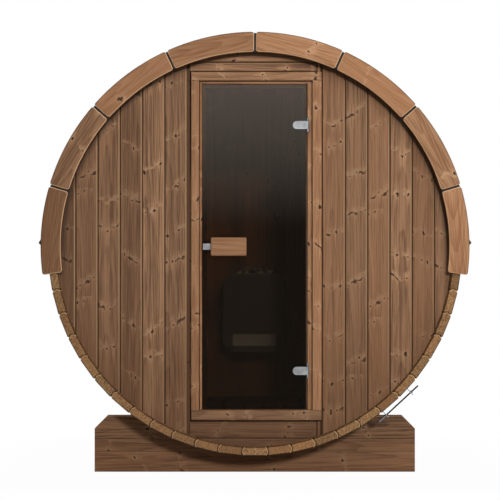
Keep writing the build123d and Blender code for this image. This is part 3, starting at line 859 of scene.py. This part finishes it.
def make_front_wall():
    """Upright boards at the sides of the door, and level ones with an upright strip over and
    under it."""
    full = (-wall_radius, wall_radius)
    out = -INWARD
    tongue_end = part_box("front_wall_left")[1].x
    left_edge = tongue_end - tongue_length
    right_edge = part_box("front_wall_right")[0].x
    right_joints = board_joints(right_edge + board_pitch + starter_extra, board_pitch)
    left_joints = board_joints(left_edge, -board_pitch)
    # each board's level holds its own tone and painted light: the left boards darker, the right ones
    # lighter
    for side, seed, joints, lit_levels in (
            ("left", 200, left_joints, (0.88, 1.14, 0.76, 0.89, 0.82, 0.59)),
            ("right", 210, [right_edge] + right_joints, (0.99, 0.89, 1.06, 1.15, 0.94, 0.97))):
        piece = Piece(seed)
        for level, inner, outer in zip(lit_levels, joints, joints[1:]):
            wall_board(piece, sorted((inner, outer)), full, wall_front, out, True,
                       piece.own_tone(level, 0.01))
        if side == "left":
            add_tongue(piece, left_edge, tongue_end)
        piece.finish(f"front_wall_{side}", "wall_wood", WALL)

    # painted light: the boards over the door are painted lighter, and those under it darker with painted
    # shade in their joints
    for name, way, joint, level, mark in (
            ("front_wall_over_door", 1, over_door_joint, 1.32, joint_light_mark),
            ("front_wall_under_door", -1, -under_door_joint, 0.66, shadow_mark)):
        low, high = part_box(name)
        near = (low.z if way > 0 else high.z) - axis_height
        middle = near - way * seat_gap + joint
        across = (low.x, high.x - end_strip_width)
        piece = Piece(220 + way)
        for z_range in (sorted((near, middle)), sorted((middle, way * wall_radius))):
            wall_board(piece, across, z_range, wall_front, out, False, piece.own_tone(level, 0.04),
                       mark)
        wall_board(piece, (across[1], high.x), sorted((near, way * wall_radius)), wall_front, out,
                   True, piece.own_tone(1.15 * level, 0.02), shadow_mark)
        piece.finish(name, "wall_wood", WALL)


def make_back_wall():
    """Upright boards, laid out to both sides from the middle one."""
    piece = Piece(230)
    full = (-wall_radius, wall_radius)
    joints = board_joints(board_pitch / 2, board_pitch)
    ordered = sorted([-j for j in joints] + joints)
    for low, high in zip(ordered, ordered[1:]):
        wall_board(piece, (low, high), full, -wall_front, INWARD, True)
    piece.finish("back_wall", "wall_wood", WALL)


# ---- Door frame ----
def slab(piece, x, z, front_y, depth, along, ease, tone=None, painted_light_mark=None):
    """A rectangular board that faces the front, rounded round its face."""
    board, place = plate(rectangle(x, z, front_y), along, -INWARD, depth)
    round_edges(board, ease, on_face, 3)
    piece.add(board, place, tone, painted_light_mark)


def make_door_frame():
    """Jambs, head and sill. All but the sill have a stop strip behind the glass, darkened as painted
    shade where the edge of the glass lies on it."""
    sill, head, glass = (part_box(name) for name in ("door_frame_sill", "door_frame_head", "door_glass"))
    front_y, back_y = sill[0].y, sill[1].y
    stop_y = front_y + stop_set_back
    shade_behind_glass = Vector((0.16, 0.0, 0))
    shade_strip_shows = 8.5 * MM         # as far as it shows beside the glass at the hinges
    shade_strip_top = glass[1].z + 5 * MM
    rebate_top = head[1].z - head_face

    def face(piece, x, z, along, level, painted_light_mark=None):
        slab(piece, x, z, front_y, back_y - front_y, along, frame_ease,
             piece.own_tone(level, 0.02), painted_light_mark)

    def stop(piece, x, z, along, level=1.0):
        slab(piece, x, z, stop_y, back_y - stop_y, along, 1.5 * MM, Vector((1.15 * level, 0.35, 0)))

    # the stop behind the edge of the glass, painted dark as painted shade
    def shade_strip_behind_glass(piece, x, z, along):
        slab(piece, x, z, stop_y, back_y - stop_y, along, 1 * MM, shade_behind_glass)

    for name, way, level in (("left", 1, 0.95), ("right", -1, 1.05)):
        low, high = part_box(f"door_frame_{name}")
        outer_x = low.x if way > 0 else high.x
        rebate = outer_x + way * frame_face
        outer_x += frame_gap if way > 0 else 0.0
        glass_edge = glass[0].x if way > 0 else glass[1].x + shade_strip_shows
        behind = sorted((glass_edge, rebate + way * stop_width))
        piece = Piece(300 + way)
        face(piece, sorted((outer_x, rebate)), (low.z, high.z), UP, level, frame_highlight_mark)
        stop(piece, sorted((rebate + way * stop_groove, glass_edge)), (low.z, high.z), UP, level)
        shade_strip_behind_glass(piece, behind, (low.z, shade_strip_top), UP)
        stop(piece, behind, (shade_strip_top, high.z - stop_groove), RIGHT)
        piece.finish(f"door_frame_{name}", "frame_wood", FRAME)

    piece = Piece(310)
    face(piece, (head[0].x + frame_gap, head[1].x), (rebate_top, head[1].z), RIGHT, 1.0, frame_highlight_mark)
    inner = (head[0].x + frame_face + stop_width, head[1].x - frame_face - stop_width)
    across = (inner[0] + seat_gap, inner[1] - seat_gap)
    stop(piece, across, (shade_strip_top, rebate_top - stop_groove), RIGHT)
    shade_strip_behind_glass(piece, across, (head[0].z, shade_strip_top), RIGHT)
    piece.finish("door_frame_head", "frame_wood", FRAME)

    piece = Piece(311)
    # the sill's low level is painted shade
    face(piece, (sill[0].x + frame_gap, sill[1].x), (sill[0].z + frame_gap, sill[1].z), RIGHT, 0.63)
    piece.finish("door_frame_sill", "frame_wood", FRAME)


# ---- Door handles ----
def make_handles():
    """Two wooden grips with rounded corners and edges all round."""
    corner, ease, rather_dark = 7 * MM, 5 * MM, Vector((0.86, 0.3, 0))
    for name, out in (("door_handle_outside", -INWARD), ("door_handle_inside", INWARD)):
        low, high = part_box(name)
        front_y = low.y if out.y < 0 else high.y
        centres = [(high.x - corner, high.z - corner, 0), (low.x + corner, high.z - corner, 90),
                   (low.x + corner, low.z + corner, 180), (high.x - corner, low.z + corner, 270)]
        points = []
        for cx, cz, start in centres:
            for angle in share(start, start + 90, 5):
                turn = math.radians(angle)
                points.append(Vector((cx + corner * math.cos(turn), front_y,
                                      cz + corner * math.sin(turn))))
        board, place = plate(points, RIGHT, out, high.y - low.y)
        round_edges(board, ease, lambda a, b: abs(a.z - b.z) < 1e-6, 4)
        piece = Piece(320 + round(out.y))
        piece.add(board, place, rather_dark)
        piece.finish(name, "handle_wood", HANDLE, body="door")


def make_handle_spacers():
    """Short square blocks that hold the grips off the glass."""
    piece = Piece(330)
    outside, inside, glass, (low, high) = (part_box(name) for name in (
        "door_handle_outside", "door_handle_inside", "door_glass", "handle_spacers"))
    width = 20 * MM
    for x in (low.x, high.x - width):
        for front_y, back_y in ((outside[1].y, glass[0].y), (glass[1].y, inside[0].y)):
            slab(piece, (x, x + width), (low.z, high.z), front_y, back_y - front_y, RIGHT, 0.6 * MM)
    piece.finish("handle_spacers", "handle_wood", HANDLE, body="door")


# ---- Curved trim boards ----
def trim_outline(start, end, y):
    """A board's outline between two angles, cut to the curve, with rounded corners."""
    def at(radius, angle):
        x, z = polar(radius, angle, trim_rise)
        return Vector((x, y, z))

    spare = trim_gap / 2 / trim_inner
    start, end = start + spare, end - spare
    points = []
    corners = [(trim_inner, start, 1, 1), (trim_outer, start, 1, -1),
               (trim_outer, end, -1, -1), (trim_inner, end, -1, 1)]
    for radius, angle, tangent_way, radial_way in corners:
        corner = at(radius, angle)
        radial = (at(radius + 0.01, angle) - corner).normalized() * radial_way
        tangent = (at(radius, angle + 0.001) - at(radius, angle - 0.001)).normalized() * tangent_way
        centre = corner + (radial + tangent) * trim_corner
        turns = share(0, math.pi / 2, 5)
        if (radius, angle) in ((trim_outer, start), (trim_inner, end)):
            turns = turns[::-1]
        arc = [centre - tangent * trim_corner * math.sin(t) - radial * trim_corner * math.cos(t)
               for t in turns]
        points.extend(arc)
        if radius == trim_outer and angle == start:
            inset = trim_corner / trim_outer
            points.extend(at(trim_outer, a) for a in share(start + inset, end - inset, 16)[1:-1])
        if radius == trim_inner and angle == end:
            inset = trim_corner / trim_inner
            points.extend(at(trim_inner, a) for a in share(end - inset, start + inset, 16)[1:-1])
    return points


def trim_board(piece, start, end, face_y, out, tone):
    """A board whose fibres run along its chord, rounded round its face and eased behind."""
    middle = (start + end) / 2
    chord = Vector((math.cos(middle), 0, -math.sin(middle)))
    board, place = plate(trim_outline(start, end, face_y), chord, out, trim_thickness)
    round_edges(board, trim_ease, on_face, 4)
    back = 1e-6 - trim_thickness
    round_edges(board, trim_back_ease, lambda a, b: max(a.z, b.z) < back, 1)
    piece.add(board, place, tone, trim_light_mark, sides_too=True)


def make_trims():
    """Four boards a side on both ends. Each was sawn from a plank of its own tone, and on the front the
    listed levels add painted light: the left boards darker, most of all low down, and the right ones
    lighter.
    """
    front_lit_levels = {"left": (0.92, 0.97, 0.76, 0.57), "right": (1.1, 1.06, 1.04, 1.2)}
    for end_name, out in (("front", -INWARD), ("back", INWARD)):
        face_y = out.y * (half_length + trim_thickness - 0.001 * MM)
        for side_name, side in (("left", -1), ("right", 1)):
            piece = Piece(400 + 10 * side + round(out.y))
            for n in range(trim_count):
                start, end = sorted((side * n * trim_angle, side * (n + 1) * trim_angle))
                level, spread = 1.0, 0.1
                if end_name == "front":
                    level, spread = front_lit_levels[side_name][n], 0.02
                trim_board(piece, start, end, face_y, out, piece.own_tone(level, spread))
            piece.finish(f"{end_name}_trim_{side_name}", "trim_wood", TRIM)


def make_joint_shade_strips():
    """Narrow black strips that close the joints between the trim boards, put there as painted shade in
    those joints.
    """
    shade_strips = Piece(450)
    half, reach = trim_gap / 2 + 0.5 * MM, (trim_inner + 2 * MM, trim_outer - 5 * MM)
    for out in (-INWARD, INWARD):
        face_y = out.y * (half_length + joint_shade_thickness)
        for n in range(1 - trim_count, trim_count):
            x, z = polar(1.0, n * trim_angle)
            radial = Vector((x, 0, z - axis_height))
            across = Vector((radial.z, 0, -radial.x)) * half
            base = Vector((0, face_y, axis_height + trim_rise))
            points = [base + radial * r + across * way
                      for r, way in ((reach[0], -1), (reach[0], 1), (reach[1], 1), (reach[1], -1))]
            shade_strips.add(*plate(points, radial, out, joint_shade_thickness), plain_tone)
    shade_strips.finish("trim_joint_shade_strips", "roof_board", BOARD, nodes=())


# ---- Cradles ----
def make_cradles():
    """Three boards glued edge to edge, then cut to the barrel and chamfered."""
    for order, name in enumerate(("cradle_front", "cradle_back")):
        low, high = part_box(name)
        piece = Piece(500 + order)
        layers = [0.0, *cradle_joints, high.z]
        for bottom, top in zip(layers, layers[1:]):
            level = piece.own_tone(1.05, 0.1)
            for outline in cradle_layer(low, high, bottom, top):
                board, place = plate(outline, RIGHT, -INWARD, high.y - low.y)
                round_edges(board, 2 * MM, on_face, 2)
                piece.add(board, place, level, light_from_above_mark)
        piece.finish(name, "cradle_wood", CRADLE)


def cradle_layer(low, high, bottom, top):
    """The outlines of one glued layer: whole under the barrel, or one piece each side."""
    chamfer_start = high.z - cradle_chamfer
    lowest = axis_height - saddle_radius

    def saddle_x(z):
        drop = axis_height - z
        return math.sqrt(saddle_radius ** 2 - drop ** 2) if drop < saddle_radius else 0.0

    def spots(corners, side=1):
        return [Vector((side * x, low.y, z)) for x, z in corners]

    outer = [(high.x, bottom)]
    if bottom < chamfer_start < top:
        outer.append((high.x, chamfer_start))
    outer.append((high.x - max(0.0, top - chamfer_start), top))
    if saddle_x(top) == 0.0:
        return [rectangle((low.x, high.x), (bottom, top), low.y)]
    if saddle_x(bottom) == 0.0:
        half = outer + [(saddle_x(z), z) for z in share(top, lowest, 6)[:-1]] + [(0.0, lowest)]
        return [spots(half + [(-x, z) for x, z in reversed(half[:-1])])]
    inner = [(saddle_x(z), z) for z in share(top, bottom, 14) if saddle_x(z) > 0.0]
    return [spots(outer + inner), spots(outer + inner, -1)[::-1]]


# ---- Roof ----
def bent_sheet(piece, angles, steps, section, tone):
    """A sheet bent round the barrel. section gives its (radius, y) corners at a part of the way
    from the first angle to the last."""
    rings = []
    for n, angle in enumerate(share(*angles, steps)):
        spots = [(polar(radius, angle), y) for radius, y in section(n / steps)]
        rings.append([(x, y, z) for (x, z), y in spots])
    piece.add(loft(rings), Matrix.Identity(4), tone)


def tapered(inner, outer_low, outer_high, y_low, y_high):
    """The section of a felt strip that thins out from outer_low to outer_high."""
    def section(part):
        outer = outer_low + (outer_high - outer_low) * part
        return (inner, y_low), (outer, y_low), (outer, y_high), (inner, y_high)
    return section


def make_shingles():
    """Ten courses a side. Each course is a felt strip slotted into tabs along its butt."""
    courses, tab, slot, tab_share = 10, 0.2, 7 * MM, 0.62
    ridge, lap = math.radians(3.5), math.radians(0.03)
    for order, (name, side) in enumerate((("left", -1), ("right", 1))):
        node = f"roof_shingles_{name}"
        low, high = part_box(node)
        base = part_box(f"roof_deck_{name}")[1].z - axis_height + seat_gap
        butt, tip = base + 5.3 * MM, base + 2 * MM
        at_middle = butt + (tip - butt) * tab_share
        eave = math.acos((low.z - axis_height) / base)
        step = (eave - ridge) / courses
        piece = Piece(600 + order)
        for n in range(courses):
            lower = eave - n * step
            upper = lower - step + lap
            middle = lower + (upper - lower) * tab_share
            bent_sheet(piece, (side * middle, side * upper), 3,
                       tapered(base, at_middle, tip, low.y, high.y), piece.own_tone(1.0, 0.05))
            edges = [low.y]
            y = low.y + tab * (0.5 if n % 2 else 1.0)
            while y < high.y - slot:
                edges.append(y)
                y += tab
            edges.append(high.y + slot / 2)
            for near, far in zip(edges, edges[1:]):
                start = near if near == low.y else near + slot / 2
                end = min(far - slot / 2, high.y)
                bent_sheet(piece, (side * lower, side * middle), 3,
                           tapered(base, butt, at_middle, start, end), piece.own_tone(1.0, 0.22))
        piece.finish(node, "roof_shingle", FELT)


def make_ridge_cap():
    """Short caps laid along the ridge, each lapping the next."""
    low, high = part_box("ridge_cap")
    outer = high.z - axis_height - 0.1 * MM
    inner = outer - 4.5 * MM
    half_angle = math.asin(high.x / outer)
    count, thinned = 9, 2 * MM
    length = (high.y - low.y) / count
    piece = Piece(610)
    for n in range(count):
        y = low.y + n * length
        end = y + length - thinned
        bent_sheet(piece, (-half_angle, half_angle), 8,
                   lambda _: ((inner, y), (outer, y), (inner + thinned, end), (inner, end)),
                   piece.own_tone(1.0, 0.15))
    piece.finish("ridge_cap", "roof_shingle", FELT)


# ---- Tensioners ----
def threaded_rod():
    """A rod along x with a rolled thread."""
    around, per_turn = 14, 4
    count = int(rod_length / thread_pitch * per_turn)
    rings = []
    for n in range(count + 1):
        x = -rod_length / 2 + rod_length * n / count
        ring = []
        for k in range(around):
            angle = math.tau * k / around
            phase = (x / thread_pitch + k / around) % 1.0
            radius = rod_diameter / 2 - thread_depth * abs(2 * phase - 1)
            ring.append((x, radius * math.cos(angle), radius * math.sin(angle)))
        rings.append(ring)
    return loft(rings)


def ring_of(sides, across, hole, x_from, x_to, ease):
    """A nut or washer round the x axis, between two x values."""
    disc = bmesh.new()
    outer = across / 2 / math.cos(math.pi / sides)
    loops = []
    for radius, x in ((outer, x_from), (outer, x_to), (hole, x_to), (hole, x_from)):
        loops.append([disc.verts.new((x, radius * math.cos(math.tau * k / sides),
                                      radius * math.sin(math.tau * k / sides)))
                      for k in range(sides)])
    for n, loop in enumerate(loops):
        before = loops[n - 1]
        for k in range(sides):
            disc.faces.new((before[k - 1], before[k], loop[k], loop[k - 1]))
    bmesh.ops.recalc_face_normals(disc, faces=disc.faces)
    rim = hole + 1e-5
    round_edges(disc, ease, lambda a, b: math.hypot(a.y, a.z) > rim and math.hypot(b.y, b.z) > rim, 2)
    return disc


def make_tensioners():
    """Threaded rods with a nut outside each lug, and a plain sleeve over the rod's lower tail."""
    low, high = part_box("tensioners")
    rods, nuts = Piece(700), Piece(701)
    out = Vector((math.cos(rod_angle), 0, math.sin(rod_angle)))
    along = Vector((-out.z, 0, out.x))
    from_end = nut_across / 2 / math.cos(math.pi / 6)
    hole, ease, play = rod_diameter / 2 + 0.05 * MM, 0.5 * MM, 0.1 * MM
    for y in (low.y + from_end, high.y - from_end):
        centre = axis + out * rod_radius
        centre.y = y
        place = facing(centre, along, out)
        rods.add(threaded_rod(), place, plain_tone)
        for way in (-1, 1):
            seat = way * (lug_outside + play)
            top = seat + way * nut_thickness
            nuts.add(ring_of(6, nut_across, hole, *sorted((seat, top)), ease), place, plain_tone)
        sleeve = (1 * MM - rod_length / 2, -lug_outside - nut_thickness - 2 * play)
        nuts.add(ring_of(20, sleeve_across, hole, *sleeve, ease), place, plain_tone)
    rods.finish("tension_rods", "steel", ROD_STEEL, nodes=("tensioners",), sharp=25)
    nuts.finish("tension_nuts", "steel", STEEL, nodes=(), sharp=25)


# ---- Floor ----
def make_floor_slats():
    """Slats that run from the front to the back, with open joints."""
    low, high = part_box("floor_slats")
    width, gap = 98 * MM, 10 * MM
    piece = Piece(800)
    x = low.x
    while x < high.x - width / 2:
        corners = [(x, low.y), (x + width, low.y), (x + width, high.y), (x, high.y)]
        points = [Vector((cx, cy, high.z)) for cx, cy in corners]
        board, place = plate(points, INWARD, UP, high.z - low.z)
        round_edges(board, 2.5 * MM, on_face, 2)
        piece.add(board, place, piece.own_tone(1.0, 0.12))
        x += width + gap
    piece.finish("floor_slats", "floor_wood", FLOOR)


def make_floor_bearers():
    """Three bearers across the barrel, cut to the curve of its staves."""
    low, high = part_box("floor_bearers")
    width = 45 * MM
    seat = stave_inner - seat_gap
    half = math.sqrt(seat ** 2 - (high.z - axis_height) ** 2)
    sweep = math.asin(half / seat)
    piece = Piece(810)
    for y in (low.y, (low.y + high.y - width) / 2, high.y - width):
        points = []
        for angle in share(math.pi - sweep, math.pi + sweep, 24):
            px, pz = polar(seat, angle)
            points.append(Vector((px, y, pz)))
        piece.add(*plate(points, RIGHT, -INWARD, width))
    piece.finish("floor_bearers", "floor_wood", FLOOR)


# ---- Heater stones ----
def split_stone(chance, size):
    """A stone split on a few flat faces."""
    rock = bmesh.new()
    for _ in range(13):
        way = Vector([chance.gauss(0, 1) for _ in range(3)]).normalized()
        rock.verts.new((way.x * size * chance.uniform(0.8, 1.15), way.y * size * 0.85,
                        way.z * size * 0.7))
    made = bmesh.ops.convex_hull(rock, input=rock.verts)
    loose = [g for g in made["geom_interior"] + made["geom_unused"] if isinstance(g, bmesh.types.BMVert)]
    bmesh.ops.delete(rock, geom=list(set(loose)), context="VERTS")
    bmesh.ops.recalc_face_normals(rock, faces=rock.faces)
    bmesh.ops.bevel(rock, geom=list(rock.edges), offset=size * 0.07, segments=1, affect="EDGES",
                    clamp_overlap=True)
    return rock


def make_stones():
    """Stones heaped in the pocket in three rough layers."""
    low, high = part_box("heater_stones")
    centre = (low + high) / 2
    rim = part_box("heater_body")[1].z
    size, from_side, stray = 25 * MM, 30 * MM, 6 * MM
    piece = Piece(900)

    def spot(middle, end, spread, part):
        reach = (end - middle - from_side) * spread
        return middle + reach * (2 * part - 1) + piece.chance.uniform(-1, 1) * stray

    for level, spread, count in ((-32 * MM, 1.0, 5), (2 * MM, 0.86, 5), (24 * MM, 0.5, 3)):
        for row in range(count):
            for column in range(count):
                x = spot(centre.x, high.x, spread, row / (count - 1))
                y = spot(centre.y, high.y, spread, column / (count - 1))
                spin = Matrix.Rotation(piece.chance.uniform(0, math.tau), 4, "Z")
                tip = Matrix.Rotation(piece.chance.uniform(-0.5, 0.5), 4, "X")
                stone = split_stone(piece.chance, size)
                place = Matrix.Translation((x, y, rim + level)) @ spin @ tip
                piece.add(stone, place, piece.own_tone(1.0, 0.5))
    piece.finish("heater_stones", "heater_stone", STONE, sharp=20)


# ---- CAD pieces that keep their shape ----
def refine(node, material, ease):
    """Gives a CAD piece its finish, and small rounded edges where they catch the light."""
    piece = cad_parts[node]
    piece.data.materials.clear()
    piece.data.materials.append(material)
    if ease:
        weld = piece.modifiers.new("weld", "WELD")
        weld.merge_threshold = 0.01 * MM
        bevel = piece.modifiers.new("ease", "BEVEL")
        bevel.width = ease
        bevel.segments = 2
        bevel.limit_method = "ANGLE"
        bevel.angle_limit = math.radians(35)
        bevel.harden_normals = True


def finish_cad_pieces():
    for material, ease, nodes in (
            (GLASS, 0.0, ("door_glass",)),
            (STEEL, 0.8 * MM, ("hinge_clamps", "hinge_leaves", "door_latch_plate")),
            (STEEL, 0.0, ("band_front", "band_back")),
            (BOARD, 0.0, ("roof_deck_left", "roof_deck_right")),
            (DRIP, 0.0, ("eave_drip_left", "eave_drip_right")),
            (SHELL, 2.5 * MM, ("heater_body",)),
            (SHELL, 0.5 * MM, ("heater_hangers",)),
            (PANEL, 0.8 * MM, ("heater_front_strip",))):
        for node in nodes:
            refine(node, material, ease)


# ---- Studio ----
def make_camera():
    camera = bpy.data.objects.new("camera", bpy.data.cameras.new("camera"))
    camera.data.lens = 135.65
    camera.data.sensor_width = 36
    camera.location = (-0.024, -9.9, 1.116)
    camera.rotation_euler = (math.radians(90), 0, 0)
    bpy.context.scene.collection.objects.link(camera)
    bpy.context.scene.camera = camera


def make_light(name, kind, azimuth, elevation, distance, energy):
    """A light that looks at the front wall's middle. Its angles are in degrees."""
    turn, lift = math.radians(azimuth), math.radians(elevation)
    way = Vector((math.sin(turn) * math.cos(lift), -math.cos(turn) * math.cos(lift), math.sin(lift)))
    light = bpy.data.objects.new(name, bpy.data.lights.new(name, kind))
    light.data.energy = energy
    light.location = Vector((0, -half_length, axis_height)) + way * distance
    light.rotation_euler = (-way).to_track_quat("-Z", "Y").to_euler()
    bpy.context.scene.collection.objects.link(light)
    return light


def make_lamp(name, azimuth, elevation, distance, size, power):
    """A square soft lamp, which no picture shows."""
    lamp = make_light(name, "AREA", azimuth, elevation, distance, power)
    lamp.data.size = size
    lamp.visible_camera = False


def show_as_white(sheet, lit, white, share_of_white):
    """Lets camera, mirror and glass rays see white in place of the lit surface."""
    rays = sheet.add("LightPath").outputs
    seen = sheet.math("MAXIMUM", rays["Is Camera Ray"], rays["Is Glossy Ray"])
    seen = sheet.math("MAXIMUM", seen, rays["Is Transmission Ray"])
    factor = sheet.scale(seen, share_of_white)
    return sheet.add("MixShader", {0: factor, 1: lit, 2: white}).outputs[0]


def empty_sheet(owner):
    """The sheet of a world or a material, with no nodes on it."""
    owner.use_nodes = True
    owner.node_tree.nodes.clear()
    return Sheet(owner.node_tree)


def make_world(scene):
    scene.world = bpy.data.worlds.new("studio")
    sheet = empty_sheet(scene.world)
    lit = sheet.add("Background", {"Color": (1.0, 0.98, 0.96, 1), "Strength": 0.032}).outputs[0]
    white = sheet.add("Background", {"Color": (1, 1, 1, 1), "Strength": 1.0}).outputs[0]
    sheet.add("OutputWorld", {"Surface": show_as_white(sheet, lit, white, 1.0)})


def make_studio_floor(scene):
    """Pale paper. It shows a little more of the object's shadow close to the object."""
    reach, near_white, fade = 60.0, 0.97, 0.7
    mesh = bpy.data.meshes.new("studio_floor")
    corners = ((-reach, -reach, 0), (reach, -reach, 0), (reach, reach, 0), (-reach, reach, 0))
    mesh.from_pydata(corners, [], [(0, 1, 2, 3)])
    floor = bpy.data.objects.new("studio_floor", mesh)
    scene.collection.objects.link(floor)
    material = bpy.data.materials.new("studio floor")
    sheet = empty_sheet(material)
    paper = sheet.add("BsdfDiffuse", {"Color": (0.5, 0.5, 0.5, 1)}).outputs[0]
    glow = sheet.add("Emission", {"Color": (1, 1, 1, 1), "Strength": 1.0}).outputs[0]
    place = sheet.split(sheet.add("NewGeometry").outputs["Position"])
    away = [sheet.math("MAXIMUM", sheet.less(sheet.math("ABSOLUTE", place[way]), half), 0.0)
            for way, half in zip("XY", cad_box[1])]
    far = sheet.ease(sheet.length(*away), 0.0, fade)
    white_share = sheet.scale(far, 1 - near_white, near_white)
    sheet.add("OutputMaterial", {"Surface": show_as_white(sheet, paper, glow, white_share)})
    mesh.materials.append(material)


def make_studio():
    scene = bpy.context.scene
    scene.view_settings.view_transform = "Standard"
    make_world(scene)
    make_studio_floor(scene)
    key = make_light("key", "SUN", 6.1, 12.2, 0.0, 0.48 * math.pi)
    key.data.angle = math.radians(3.2)
    make_lamp("fill", 33, 38, 3.8, 2.4, 59)
    for name, azimuth in (("left flank", -105), ("right flank", 105), ("rear", 180)):
        make_lamp(name, azimuth, 34, 6.0, 2.6, 190)


make_camera()
make_studio()
make_staves()
make_front_wall()
make_back_wall()
make_door_frame()
make_handles()
make_handle_spacers()
make_trims()
make_joint_shade_strips()
make_cradles()
make_shingles()
make_ridge_cap()
make_tensioners()
make_floor_slats()
make_floor_bearers()
make_stones()
finish_cad_pieces()

bpy.context.view_layer.update()
